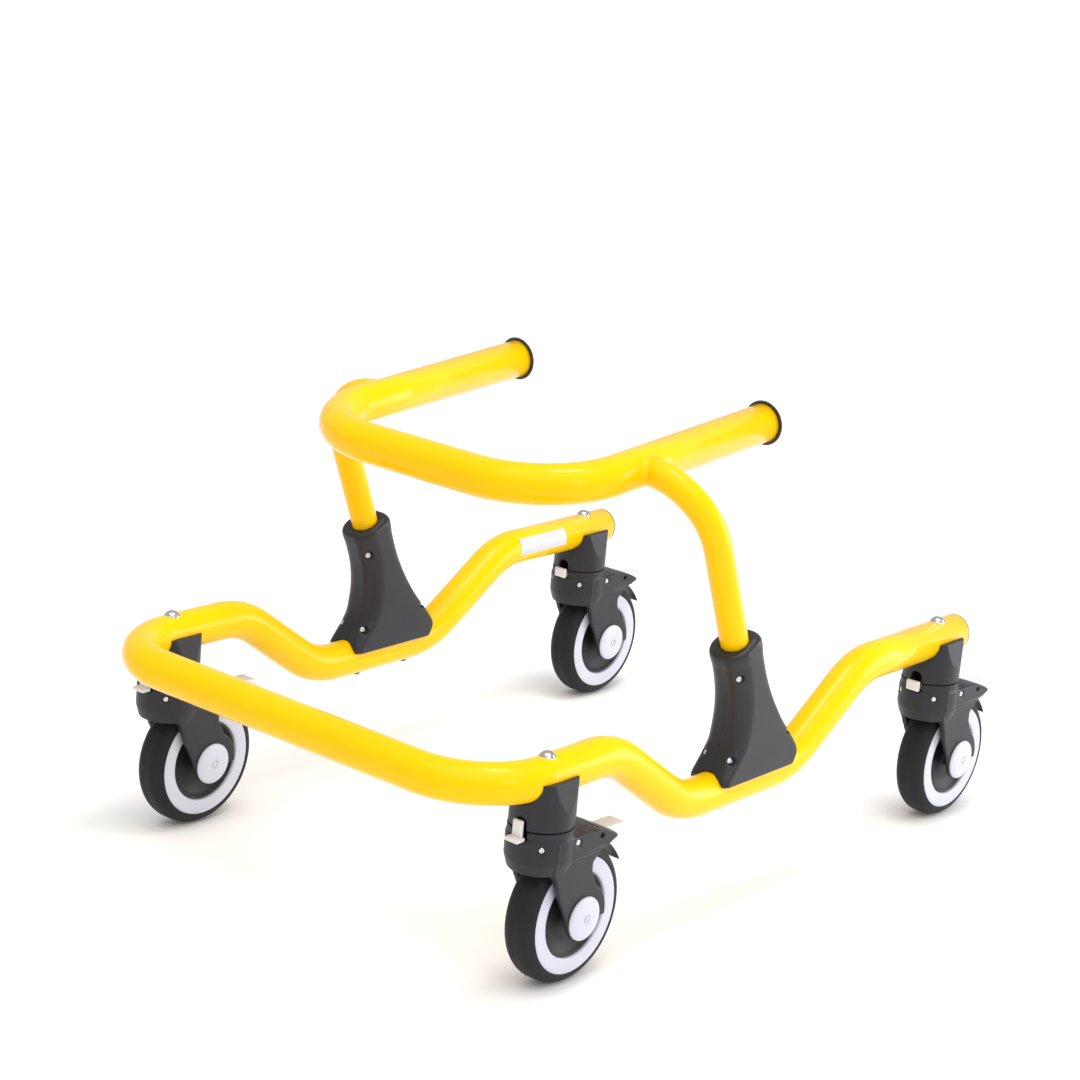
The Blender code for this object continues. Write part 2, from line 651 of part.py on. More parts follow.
def add_stem_bolt(name, x, y):
    """Chrome domed bolt down through rail, adaptor and crown, spread under the crown."""
    top = HIGH_Z + TUBE_RADIUS
    dome = [(STEM_HEAD_RADIUS * math.cos(a), top + STEM_HEAD_HEIGHT * math.sin(a))
            for a in (0, 0.55, 1.1)]
    skirt = top - 4 * MM
    head = turned([(0, skirt), (STEM_HEAD_RADIUS, skirt)] + dome + [(0, top + STEM_HEAD_HEIGHT)], 12)
    head = cut(head, placed(rail_tool(), -x, -y))
    flange_top = STEM_FLANGE_Z + STEM_FLANGE_HEIGHT
    shank = ((0, STEM_FLANGE_Z), (STEM_FLANGE_RADIUS, STEM_FLANGE_Z), (STEM_FLANGE_RADIUS, flange_top),
             (STEM_RADIUS, flange_top), (STEM_RADIUS, top + MM), (0, top + MM))
    add(f"stem_bolt_{name}", joined(head, turned(shank, STEM_SIDES)), "chrome", origin=(x, y, 0))


def hood_outline():
    """Side view of the hood over the brake pedal, as (y, z) points."""
    return [(y, SWIVEL_Z - drop) for y, drop in HOOD_TOP + HOOD_LIP] + [(HOOD_TOP[0][0], CROWN_WAIST_Z)]


def leg_outline():
    """Side view of a fork leg from under the hood to the axle, as (y, z) points."""
    axle = axle_centre()
    top = CROWN_WAIST_Z + 2 * MM
    rear = [(axle[0] + y, top - drop) for y, drop in LEG_REAR]
    lobe = arc(axle, LOBE_RADIUS, math.radians(62), math.radians(-8), 6)
    end = arc(axle, LEG_END_RADIUS, math.radians(-14), math.radians(-149.5), 7)
    front = [(12 * MM, WHEEL_RADIUS + 9 * MM), (2 * MM, WHEEL_RADIUS + 27.5 * MM),
             (-4 * MM, WHEEL_RADIUS + 41.5 * MM), (-10.5 * MM, CROWN_BASE_Z + 2 * MM), (-10.5 * MM, top)]
    return rear + lobe + end + front


def well_outline():
    """Side view of the space between the legs, under the crown and the hood."""
    axle = axle_centre()
    radius = WHEEL_RADIUS + ARCH_CLEARANCE
    start = math.pi - math.asin((CROWN_BASE_Z - axle[1]) / radius)
    below = axle[1] - LOBE_RADIUS - BEYOND
    hub_top = PEDAL_PIVOT[1] + PEDAL_HUB_RADIUS + 0.4 * MM
    hub_front = PEDAL_PIVOT[0] - PEDAL_HUB_RADIUS - 2 * MM
    slot_top = PEDAL_TOP_Z + 0.5 * MM
    out = HOOD_END_Y + BEYOND
    roof = [(hub_front, axle[1] + radius), (hub_front, hub_top), (PEDAL_PIVOT[0] + 5 * MM, hub_top),
            (HOOD_END_Y - 4 * MM, slot_top), (out, slot_top)]
    floor = [(out, below), (-CROWN_RADIUS - BEYOND, below), (-CROWN_RADIUS - BEYOND, CROWN_BASE_Z)]
    return arc(axle, radius, start, math.radians(91), 8) + roof + floor


def crown_mesh():
    """The round head of the fork."""
    top = SWIVEL_Z - SWIVEL_GAP / 2
    step = SWIVEL_Z - CROWN_STEP_DROP
    profile = ((0, CROWN_BASE_Z), (CROWN_BASE_RADIUS, CROWN_BASE_Z), (CROWN_RADIUS, CROWN_WAIST_Z),
               (CROWN_RADIUS, step), (CROWN_NECK_RADIUS, step + MM),
               (CROWN_NECK_RADIUS, top), (0, top))
    return turned(profile, ROUND_SIDES)


def spread_cutter(side):
    """What is taken off the outside of one leg, so that it spreads towards the crown."""
    foot = LEG_INNER_X + LEG_THICKNESS
    far = CROWN_RADIUS + BEYOND
    low = WHEEL_RADIUS - LOBE_RADIUS - BEYOND
    outline = ((foot, low), (foot, LEG_SPREAD_Z), (LEG_TOP_X, CROWN_WAIST_Z), (far, CROWN_WAIST_Z),
               (far, low))
    return bridged([[(side * x, y, z) for x, z in outline] for y in (-far, HOOD_END_Y + BEYOND)])


def corner_cutter(side):
    """What rounds one rear corner of the hood in the plan view."""
    plan = [(CROWN_SIDE_X - inset, y) for inset, y in HOOD_CORNER]
    end = HOOD_END_Y + BEYOND
    plan += [(plan[-1][0], end), (CROWN_SIDE_X + BEYOND, end), (CROWN_SIDE_X + BEYOND, plan[0][1])]
    return bridged([[(side * x, y, z) for x, y in plan]
                    for z in (CROWN_BASE_Z, SWIVEL_Z + BEYOND)])


def add_fork(name, x, y):
    """Swivelling fork: crown, two spread legs and the hood over the brake pedal."""
    axle = axle_centre()
    hood = cut(prism(hood_outline(), -CROWN_SIDE_X, CROWN_SIDE_X), corner_cutter(1), corner_cutter(-1))
    legs = cut(prism(leg_outline(), -CROWN_SIDE_X, CROWN_SIDE_X), spread_cutter(1), spread_cutter(-1))
    body = joined(crown_mesh(), hood, legs)
    well = prism(well_outline(), -LEG_INNER_X, LEG_INNER_X)
    far = CROWN_RADIUS + BEYOND
    hole = ((0, -far), (AXLE_RADIUS + GAP, -far), (AXLE_RADIUS + GAP, far), (0, far))
    drilled = [placed(wheel_turned(hole, False, AXLE_SIDES), 0, *axle),
               placed(along_x(rod(PEDAL_PIN_RADIUS + GAP, -far, far)), 0, *PEDAL_PIVOT)]
    recess_z = SWIVEL_Z - RECESS_DROP
    for side in (1, -1):
        recess = along_x(rod(RECESS_RADIUS, 0, BEYOND + RECESS_DEPTH))
        recess = placed(recess, CROWN_SIDE_X - RECESS_DEPTH, SIDE_RECESS_Y, recess_z)
        front = along_x(rod(RECESS_RADIUS, CROWN_RADIUS - RECESS_DEPTH, CROWN_RADIUS + BEYOND))
        front = placed(moved(front, Matrix.Rotation(FRONT_RECESS_ANGLE, 4, "Z")), 0, 0, recess_z)
        drilled += [moved(tool, Matrix.Diagonal((side, 1, 1, 1))) for tool in (recess, front)]
    bore = rod(STEM_RADIUS + GAP, CROWN_BASE_Z - BEYOND, SWIVEL_Z + BEYOND, STEM_SIDES)
    pocket_top = STEM_FLANGE_Z + STEM_FLANGE_HEIGHT + GAP
    pocket = rod(STEM_FLANGE_RADIUS + GAP, CROWN_BASE_Z - BEYOND, pocket_top, STEM_SIDES)
    half = TAB_HALF_WIDTH + GAP
    tab_room = slab((-half, -CROWN_RADIUS - BEYOND, TAB_PIVOT[1] - TAB_THICKNESS),
                    (half, TAB_PIVOT[0] + TAB_TONGUE_LENGTH + 0.6 * MM, SWIVEL_Z + BEYOND))
    body = cut(body, well, grouped(drilled), bore, pocket, tab_room)
    return add(f"caster_fork_{name}", placed(body, 0, 0, -SWIVEL_Z), "fork_plastic",
               origin=(x, y, SWIVEL_Z))


def pedal_outline():
    """Side view of the brake pedal with its shoe, as (y, z) points from the pivot."""
    axle = axle_centre()
    end = PEDAL_END_Y
    end_top = PEDAL_TOP_Z - PEDAL_FALL
    end_low = end_top - PEDAL_END_THICKNESS
    root_low = PEDAL_TOP_Z - PEDAL_ROOT_THICKNESS
    plate = [PEDAL_PIVOT, (PEDAL_PIVOT[0] + 1.5 * MM, PEDAL_PIVOT[1] + 2.4 * MM),
             (HOOD_END_Y - 5 * MM, PEDAL_TOP_Z), (end - 1.5 * MM, end_top), (end, end_top - 1.5 * MM),
             (end - 0.5 * MM, end_low + 2 * MM), (end - 4 * MM, end_low), (end - 16 * MM, end_low + MM)]
    start = WHEEL_RADIUS + SHOE_START_CLEARANCE
    grow = SHOE_END_CLEARANCE - SHOE_START_CLEARANCE
    shoe = []
    for share in (0, 0.5, 1):
        angle = SHOE_START_ANGLE + share * (SHOE_END_ANGLE - SHOE_START_ANGLE)
        inner = start + share * grow
        thickness = SHOE_THICKNESS * (1 - 0.35 * share)
        shoe.append([(axle[0] + r * math.cos(angle), axle[1] + r * math.sin(angle))
                     for r in (inner, inner + thickness)])
    outer = [pair[1] for pair in shoe]
    inner = [pair[0] for pair in reversed(shoe)]
    neck = [(HOOD_END_Y - 7 * MM, root_low), (PEDAL_PIVOT[0] + MM, PEDAL_PIVOT[1] - 2.7 * MM)]
    points = plate + outer + inner + neck
    return [(y - PEDAL_PIVOT[0], z - PEDAL_PIVOT[1]) for y, z in points]


def add_pedal(name, x, y, parent):
    """Foot pedal that presses its shoe onto the tread, on a pin through the hood's sides."""
    half = PEDAL_HALF_WIDTH
    body = prism(pedal_outline(), -half, half)
    inside = LEG_INNER_X - 0.5 * MM
    hub = along_x(rod(PEDAL_HUB_RADIUS, -inside, inside))
    pin_end = LEG_INNER_X + LEG_THICKNESS
    pin = along_x(rod(PEDAL_PIN_RADIUS, -pin_end, pin_end))
    origin = (0, PEDAL_PIVOT[0], PEDAL_PIVOT[1] - SWIVEL_Z)
    add(f"brake_pedal_{name}", joined(body, hub, pin), "pedal_plastic", origin, parent)


def add_lock_tab(name, angle, parent):
    """Two-armed tab on the crown: its lip is for the toe, its tongue stands up when it is open."""
    lip = slab((-TAB_HALF_WIDTH, -0.8 * TAB_THICKNESS, -0.5 * TAB_THICKNESS),
               (TAB_HALF_WIDTH, 0.2 * TAB_THICKNESS, TAB_LIP_HEIGHT))
    tongue = slab((-TAB_TONGUE_HALF_WIDTH, 0, -0.5 * TAB_THICKNESS),
                  (TAB_TONGUE_HALF_WIDTH, TAB_TONGUE_LENGTH, 0.5 * TAB_THICKNESS))
    body = moved(joined(lip, tongue), Matrix.Rotation(angle, 4, "X"))
    origin = (0, TAB_PIVOT[0], TAB_PIVOT[1] - SWIVEL_Z)
    add(f"lock_tab_{name}", body, "tab_plastic", origin, parent)


def wheel_turned(profile, closed=True, sides=WHEEL_SIDES):
    """A wheel piece from (radius, x) points, with a flat of its rim facing the floor."""
    mesh = turned(profile, sides, closed)
    mesh = moved(mesh, Matrix.Rotation(math.pi / sides, 4, "Z"))
    return along_x(mesh)


def tyre_profile():
    """Half-round shoulders and a flat tread, on flats that reach the rolling radius."""
    flat = 1 / math.cos(math.pi / WHEEL_SIDES)
    centre = (WHEEL_RADIUS - TREAD_CORNER, TREAD_HALF_WIDTH - TREAD_CORNER)
    seat = RING_OUTER + GAP
    start = math.asin((seat - centre[0]) / TREAD_CORNER)
    shoulder = arc(centre, TREAD_CORNER, math.pi / 2 - start, 0, 2)
    right = [(radius * flat, x) for radius, x in shoulder[1:]]
    right.insert(0, (seat, shoulder[0][1]))
    return right + [(radius, -x) for radius, x in reversed(right)]


def add_wheel(name, parent):
    """Tyre, pale ring and dark core that turn together, and the axle and cap that do not."""
    trail, rise = axle_centre()
    origin = (0, trail, rise - SWIVEL_Z)
    width = RING_HALF_WIDTH
    ring = ((RING_INNER, 2 * MM - width), (RING_INNER + 2 * MM, -width), (RING_OUTER, -width),
            (RING_OUTER, width), (RING_INNER + 2 * MM, width), (RING_INNER, width - 2 * MM))
    rim = RING_INNER * math.cos(math.pi / WHEEL_SIDES) - GAP
    boss = LEG_INNER_X - 0.5 * MM
    bore = AXLE_RADIUS / math.cos(math.pi / AXLE_SIDES) + AXLE_CLEARANCE
    half_core = ((bore, boss), (BOSS_RADIUS, boss), (BOSS_RADIUS + MM, CORE_WEB_HALF_WIDTH),
                 (rim - 12 * MM, CORE_WEB_HALF_WIDTH), (rim, CORE_RIM_HALF_WIDTH))
    core = half_core + tuple((radius, -x) for radius, x in reversed(half_core))
    add(f"tyre_{name}", wheel_turned(tyre_profile()), "tyre_rubber", origin, parent)
    add(f"wheel_ring_{name}", wheel_turned(ring), "wheel_ring_plastic", origin, parent)
    add(f"wheel_core_{name}", wheel_turned(core, sides=AXLE_SIDES), "wheel_core_plastic", origin, parent)
    outer = LEG_INNER_X + LEG_THICKNESS
    head = -outer - GAP
    axle = ((0, head - AXLE_HEAD_HEIGHT), (AXLE_HEAD_RADIUS, head - AXLE_HEAD_HEIGHT),
            (AXLE_HEAD_RADIUS, head), (AXLE_RADIUS, head), (AXLE_RADIUS, outer), (0, outer))
    add(f"axle_{name}", wheel_turned(axle, False, AXLE_SIDES), "axle_steel", origin, parent)
    face = outer + GAP
    cap = ((0, face), (CAP_RADIUS, face), (CAP_RADIUS, face + 0.55 * CAP_HEIGHT),
           (CAP_RADIUS - 1.5 * MM, face + 0.9 * CAP_HEIGHT), (0, face + CAP_HEIGHT))
    add(f"hub_cap_{name}", wheel_turned(cap, False, 16), "cap_plastic", origin, parent)


def add_caster(name, x, y):
    """One caster under its stem."""
    add_adaptor(name, x, y)
    add_stem_bolt(name, x, y)
    fork = add_fork(name, x, y)
    add_pedal(name, x, y, fork)
    add_lock_tab(name, TAB_OPEN_ANGLE if name.startswith("front") else 0, fork)
    add_wheel(name, fork)


def main():
    """Clears the scene and builds every sub-part."""
    for item in list(bpy.data.objects):
        bpy.data.objects.remove(item)
    add_lower_frame()
    add_upper_frame()
    add_plugs()
    add_brackets()
    add_bracket_fasteners()
    for name, x, y in stems():
        add_caster(name, x, y)


main()
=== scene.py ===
"""Low wheeled walker: bent yellow tubes, moulded brackets and four braked swivel casters.

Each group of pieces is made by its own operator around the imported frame. Sizes are in metres.
"""

import json
import math

import bmesh
import bpy
from bpy.props import FloatProperty, FloatVectorProperty, IntProperty, PointerProperty
from mathutils import Matrix, Vector


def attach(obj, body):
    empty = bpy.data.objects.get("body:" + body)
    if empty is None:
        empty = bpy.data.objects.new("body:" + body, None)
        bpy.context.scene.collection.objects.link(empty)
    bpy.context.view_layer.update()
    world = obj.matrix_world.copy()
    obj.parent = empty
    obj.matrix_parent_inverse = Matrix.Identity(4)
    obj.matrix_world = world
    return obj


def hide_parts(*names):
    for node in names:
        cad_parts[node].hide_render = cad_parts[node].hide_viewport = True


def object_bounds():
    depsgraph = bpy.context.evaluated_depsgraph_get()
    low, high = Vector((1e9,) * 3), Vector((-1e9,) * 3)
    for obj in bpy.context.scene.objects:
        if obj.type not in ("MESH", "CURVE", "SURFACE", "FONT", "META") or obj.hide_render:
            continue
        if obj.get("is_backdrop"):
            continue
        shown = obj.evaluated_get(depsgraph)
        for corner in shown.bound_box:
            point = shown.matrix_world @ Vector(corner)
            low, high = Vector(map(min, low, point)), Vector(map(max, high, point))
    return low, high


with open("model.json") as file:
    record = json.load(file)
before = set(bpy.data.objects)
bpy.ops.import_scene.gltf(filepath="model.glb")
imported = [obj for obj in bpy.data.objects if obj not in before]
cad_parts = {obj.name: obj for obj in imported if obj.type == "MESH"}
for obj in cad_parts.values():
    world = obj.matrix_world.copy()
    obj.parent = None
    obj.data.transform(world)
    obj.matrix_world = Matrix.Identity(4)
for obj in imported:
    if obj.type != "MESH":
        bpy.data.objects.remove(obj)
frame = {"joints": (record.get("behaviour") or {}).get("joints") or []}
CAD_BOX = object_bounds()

bl_info = {
    "name": "Wheeled walker",
    "version": (1, 0, 0),
    "blender": (4, 5, 0),
    "location": "3D View > Sidebar > Walker",
    "description": "Models a low wheeled walker piece by piece around its packed frame",
    "category": "Add Mesh",
}

MM = 0.001
SIDES = ((1, "left"), (-1, "right"))

# Lower tube: corners of its centre line down the right side, and the bend at each
TRACK = 450 * MM
HIGH_Z = 192 * MM
LOW_Z = 120 * MM
REAR_Y = 330 * MM
RAIL_CORNERS = ((REAR_Y, HIGH_Z), (159 * MM, HIGH_Z), (49.5 * MM, LOW_Z), (-112 * MM, LOW_Z),
                (-215.5 * MM, HIGH_Z), (-379 * MM, HIGH_Z))
RAIL_BENDS = (80 * MM, 90 * MM, 91 * MM, 86 * MM, 73 * MM)

# Support ring and its uprights
RING_SPAN = 297 * MM
RING_FRONT = (-230 * MM, 399 * MM)
RING_REAR = (69 * MM, 423.5 * MM)
RING_BEND = 85 * MM
UPRIGHT_Y = -115.5 * MM
UPRIGHT_BEND = 64 * MM
UPRIGHT_LEAN = math.radians(23.1)
UPRIGHT_FOOT_Z = LOW_Z + 27 * MM

# Brackets: height above the low rail, reach before and behind the upright's axis, and rear lift
BRACKET_LEVELS = ((9, 74.6, 32.4, 0), (16, 72.1, 39.9, 4), (24, 64.2, 41.3, 4),
                  (39.5, 50.1, 34.4, 5), (57, 38.8, 25.6, 6), (76, 29.8, 19.8, 8),
                  (100, 23.6, 17.3, 12), (133, 21.9, 20.2, 17))
CLAMP_SCREWS = (("upper", 108 * MM, 18.8 * MM), ("lower", 31 * MM, 52.5 * MM))
SADDLE_BOLTS = (("front", -56.4 * MM), ("rear", 11.6 * MM))
SEAM = 0.14 * MM
COLLAR_DOME = 5  # millimetres that the collar's rim rises over
COLLAR_BAND = 122  # where the collar's slightly wider band begins, in millimetres

# Casters, from the stem's axis and the floor
SWIVEL_Z = 151.5 * MM
TRAIL = 37.5 * MM
SWIVEL_GAP = 0.8 * MM
ADAPTOR_RADIUS = 28 * MM
ADAPTOR_RISE = 1.5 * MM
ADAPTOR_GRID = 0.75 * MM  # grid that the adaptors' moulding is worked on
CHEEK_BASE_DROP = 24 * MM
CHEEK_TOP_X = 23.4 * MM
STEM_RADIUS = 4 * MM
STEM_BORE = 4.3 * MM
STEM_FOOT_Z = 119 * MM
AXLE_BORE = 4.3 * MM
CROWN_RADIUS = 29.5 * MM
CROWN_BASE_Z = 113 * MM
CROWN_WAIST_Z = 123.5 * MM
HOOD_SIDE = 28.5 * MM
LEG_INNER = 19.5 * MM
LEG_FOOT = 23.5 * MM
HOOD_TOP = ((-10, 143.4), (30, 143.2), (44, 141.6), (55, 139), (64, 135.6), (72, 132.2), (74, 131))
HOOD_LIP = ((73.4, 128.6), (64, 126.3), (51, 124.3), (-10, 123.5))
LEG_REAR = ((51, 125.5), (49, 122.5), (41.5, 113.5), (42, 105.5), (46, 98.5))
LEG_FRONT = ((12, 71.5), (2, 90), (-4, 104), (-10.5, 115), (-10.5, 125.5))
PEDAL_PIVOT = Vector((0, 48.3 * MM, 135.6 * MM))
TAB_PIVOT = Vector((0, -30.4 * MM, 146 * MM))
TAB_SIDE = 7 * MM
RECESS_DROP = 14 * MM
CLEAR = 4 * MM  # how far a cutter runs past what it cuts


# ------------------------------------------------------------------ shaping

def verts_in(geometry):
    """The vertices among a bmesh operator's results."""
    return [item for item in geometry if isinstance(item, bmesh.types.BMVert)]


def rim_edges(verts):
    """The edges that join these vertices to each other."""
    chosen = set(verts)
    return list({edge for vert in verts for edge in vert.link_edges
                 if edge.other_vert(vert) in chosen})


def drawn(bm, rim, shift):
    """Extrudes a rim by a shift and returns the new rim."""
    made = bmesh.ops.extrude_edge_only(bm, edges=rim_edges(rim))
    far = verts_in(made["geom"])
    bmesh.ops.translate(bm, verts=far, vec=shift)
    return far


def bent_tube(corners, bends, radius, sides=48, step=math.radians(5)):
    """A tube drawn straight and bent round each corner in turn, open at both ends."""
    corners = [Vector(corner) for corner in corners]
    heading = (corners[1] - corners[0]).to_track_quat("Z", "Y").to_matrix().to_4x4()
    bm = bmesh.new()
    rim = bmesh.ops.create_circle(bm, segments=sides, radius=radius,
                                  matrix=Matrix.Translation(corners[0]) @ heading)["verts"]
    at = corners[0]
    for corner, after, bend in zip(corners[1:], corners[2:], bends):
        back = (at - corner).normalized()
        on = (after - corner).normalized()
        half = back.angle(on) / 2
        start = corner + back * (bend / math.tan(half))
        end = corner + on * (bend / math.tan(half))
        centre = corner + (back + on).normalized() * (bend / math.sin(half))
        turn = math.pi - 2 * half
        rim = drawn(bm, rim, start - at)
        spun = bmesh.ops.spin(bm, geom=rim + rim_edges(rim), cent=centre, angle=turn,
                              axis=(start - centre).cross(end - centre).normalized(),
                              steps=max(3, round(turn / step)))
        rim = verts_in(spun["geom_last"])
        at = end
    drawn(bm, rim, corners[-1] - at)
    return bm


def capped(bm):
    """Closes every open rim of a shape."""
    bmesh.ops.holes_fill(bm, edges=[edge for edge in bm.edges if edge.is_boundary])
    return bm


def turned(profile, sides=64, closed=False):
    """A shape turned about Z from (radius, height, corner radius) points."""
    bm = bmesh.new()
    points = [bm.verts.new((radius, 0, height)) for radius, height, _ in profile]
    for pair in zip(points, points[1:]):
        bm.edges.new(pair)
    if closed:
        bm.edges.new((points[-1], points[0]))
    for point, (_, _, corner) in zip(points, profile):
        if corner:
            bmesh.ops.bevel(bm, geom=[point, *point.link_edges], offset=corner, segments=4,
                            profile=0.5, affect="VERTICES", material=-1, clamp_overlap=True)
    bmesh.ops.spin(bm, geom=bm.verts[:] + bm.edges[:], cent=(0, 0, 0), axis=(0, 0, 1),
                   angle=math.tau, steps=sides, use_merge=True)
    return mended(bm)


def mended(bm):
    """Doubles merged and faces turned outwards."""
    bmesh.ops.remove_doubles(bm, verts=bm.verts, dist=1e-6)
    bmesh.ops.recalc_face_normals(bm, faces=bm.faces)
    return bm


def rod(radius, low, high, sides=32, corner=0.0):
    """A round bar about Z."""
    return turned(((0, low, 0), (radius, low, corner), (radius, high, corner), (0, high, 0)), sides)


def extruded(points, shift):
    """A flat outline drawn out by a shift."""
    bm = bmesh.new()
    face = bm.faces.new([bm.verts.new(point) for point in points])
    made = bmesh.ops.extrude_face_region(bm, geom=[face])
    bmesh.ops.translate(bm, verts=verts_in(made["geom"]), vec=shift)
    return mended(bm)


def prism(outline, half_width):
    """A (y, z) outline extruded both ways along X."""
    return extruded([(-half_width, y, z) for y, z in outline], (2 * half_width, 0, 0))


def block(low, high):
    """A box between two corners."""
    low, high = Vector(low), Vector(high)
    bm = bmesh.new()
    size = Matrix.Diagonal((*(high - low), 1))
    bmesh.ops.create_cube(bm, size=1, matrix=Matrix.Translation((low + high) / 2) @ size)
    return bm


def rounded(bm, radius, segments=3, chosen=None, profile=0.5, angle=30):
    """Bevels the chosen edges, or every edge sharper than the angle."""
    if chosen is None:
        limit = math.radians(angle)
        chosen = [edge for edge in bm.edges
                  if len(edge.link_faces) == 2 and edge.calc_face_angle() > limit]
    bmesh.ops.bevel(bm, geom=chosen, offset=radius, segments=segments, profile=profile,
                    affect="EDGES", material=-1, clamp_overlap=True)
    return bm


def carried(bm, matrix):
    """The shape moved by a matrix."""
    bmesh.ops.transform(bm, matrix=matrix, verts=bm.verts)
    if matrix.determinant() < 0:
        bmesh.ops.reverse_faces(bm, faces=bm.faces)
    return bm


def at(bm, place, turn=None):
    """The shape turned, then put at a place."""
    return carried(bm, Matrix.Translation(place) @ (turn or Matrix.Identity(4)))


ALONG_X = Matrix.Rotation(math.pi / 2, 4, "Y")
MIRROR_X = Matrix.Diagonal((-1, 1, 1, 1))


def copied(bm, matrix=Matrix.Identity(4)):
    """Another of the same shape, moved by a matrix."""
    return carried(bm.copy(), matrix)


def together(*shapes):
    """Several shapes as one piece; they are used up."""
    bm = shapes[0]
    for shape in shapes[1:]:
        spare = bpy.data.meshes.new("spare")
        shape.to_mesh(spare)
        shape.free()
        bm.from_mesh(spare)
        bpy.data.meshes.remove(spare)
    return bm


def loose(bm):
    """A bmesh as an object for a modifier to work on."""
    mesh = bpy.data.meshes.new("work")
    bm.to_mesh(mesh)
    bm.free()
    item = bpy.data.objects.new("work", mesh)
    bpy.context.scene.collection.objects.link(item)
    return item


def settled(item, *spent):
    """What the modifiers leave of an object, as a bmesh; the objects are removed."""
    bpy.context.view_layer.update()
    graph = bpy.context.evaluated_depsgraph_get()
    mesh = bpy.data.meshes.new_from_object(item.evaluated_get(graph))
    for used in (item, *spent):
        spare = used.data
        bpy.data.objects.remove(used)
        bpy.data.meshes.remove(spare)
    bm = bmesh.new()
    bm.from_mesh(mesh)
    bpy.data.meshes.remove(mesh)
    return bm


def boolean(bm, tool, operation):
    """One shape joined with, cut by or kept inside another; both are used up."""
    body, cutter = loose(bm), loose(tool)
    modifier = body.modifiers.new(operation, "BOOLEAN")
    modifier.operation = operation
    modifier.solver = "EXACT"
    modifier.object = cutter
    return settled(body, cutter)


def cut(bm, *tools):
    """The shape with each tool taken out of it."""
    for tool in tools:
        bm = boolean(bm, tool, "DIFFERENCE")
    return bm


def moulded(bm, voxel, passes):
    """Edges and corners run soft, as a mould leaves them."""
    body = loose(bm)
    remesh = body.modifiers.new("grid", "REMESH")
    remesh.mode = "VOXEL"
    remesh.voxel_size = voxel
    smooth = body.modifiers.new("soften", "SMOOTH")
    smooth.factor = 0.5
    smooth.iterations = passes
    return settled(body)


# ------------------------------------------------------------------ finishes

def node(tree, kind, **settings):
    """A shader node with its settings and unlinked inputs filled in."""
    made = tree.nodes.new(kind)
    for name, value in settings.items():
        if name in made.inputs:
            made.inputs[name].default_value = value
        else:
            setattr(made, name, value)
    return made


def finish(name, colour, roughness, metallic=0.0, mottle=0.06, mottle_scale=35.0,
           grain_scale=1800.0, grain_depth=0.02, rough_spread=0.06, scuff=0.0, coat=0.0,
           specular=0.5):
    """A surface with a slight mottle in its colour, uneven gloss, and a fine grain in relief.

    Scales are per metre, and the grain's depth is in millimetres.
    """
    if name in bpy.data.materials:
        return bpy.data.materials[name]
    made = bpy.data.materials.new(name)
    made.use_nodes = True
    tree = made.node_tree
    shader = tree.nodes["Principled BSDF"]
    shader.inputs["Metallic"].default_value = metallic
    shader.inputs["Specular IOR Level"].default_value = specular
    shader.inputs["Coat Weight"].default_value = coat
    shader.inputs["Coat Roughness"].default_value = 0.09
    shader.inputs["Coat IOR"].default_value = 1.22
    link = tree.links.new
    place = node(tree, "ShaderNodeTexCoord")
    cloud = node(tree, "ShaderNodeTexNoise", Scale=mottle_scale, Detail=4.0)
    grain = node(tree, "ShaderNodeTexNoise", Scale=grain_scale, Detail=3.0)
    for texture in (cloud, grain):
        link(place.outputs["Object"], texture.inputs["Vector"])
    ramp = node(tree, "ShaderNodeValToRGB")
    low, high = ramp.color_ramp.elements
    low.position, high.position = 0.3, 0.7
    low.color = (*(channel * (1 - mottle) for channel in colour), 1)
    high.color = (*(min(1.0, channel * (1 + mottle)) for channel in colour), 1)
    link(cloud.outputs["Fac"], ramp.inputs["Fac"])
    base = ramp.outputs["Color"]
    if scuff:
        streak = node(tree, "ShaderNodeTexNoise", Scale=grain_scale / 9, Detail=6.0, Roughness=0.75)
        link(place.outputs["Object"], streak.inputs["Vector"])
        worn = node(tree, "ShaderNodeMapRange", **{"From Min": 0.62, "From Max": 0.8,
                                                    "To Min": 0.0, "To Max": scuff})
        link(streak.outputs["Fac"], worn.inputs["Value"])
        blend = node(tree, "ShaderNodeMix", data_type="RGBA")
        link(worn.outputs["Result"], blend.inputs["Factor"])
        link(base, blend.inputs[6])
        blend.inputs[7].default_value = (0.32, 0.31, 0.3, 1)
        base = blend.outputs[2]
    link(base, shader.inputs["Base Color"])
    gloss = node(tree, "ShaderNodeMapRange", **{"From Min": 0.3, "From Max": 0.7,
                                                 "To Min": roughness - rough_spread,
                                                 "To Max": roughness + rough_spread})
    link(cloud.outputs["Fac"], gloss.inputs["Value"])
    link(gloss.outputs["Result"], shader.inputs["Roughness"])
    relief = node(tree, "ShaderNodeBump", Strength=1.0, Distance=grain_depth * MM)
    link(grain.outputs["Fac"], relief.inputs["Height"])
    link(relief.outputs["Normal"], shader.inputs["Normal"])
    return made


def powder_coat():
    """Glossy yellow powder coat, with the faint orange peel that it dries to."""
    tubes = bpy.context.scene.walker_tubes
    return finish("powder_coat_yellow", tubes.colour, tubes.roughness, mottle=0.02,
                  mottle_scale=14.0, grain_scale=420.0, grain_depth=0.045, rough_spread=0.03,
                  coat=0.8, specular=0.05)


def shell_plastic():
    """Dark moulded plastic with a spark-eroded grain."""
    return finish("shell_plastic_dark", bpy.context.scene.walker_casters.shell_colour, 0.42,
                  mottle=0.1, grain_scale=2600.0, grain_depth=0.05, specular=0.3)


def bracket_plastic():
    """The brackets' satin black plastic, a little finer than the casters'."""
    return finish("bracket_plastic_black", bpy.context.scene.walker_brackets.colour, 0.38,
                  mottle=0.1, grain_scale=2400.0, grain_depth=0.035, specular=0.35)


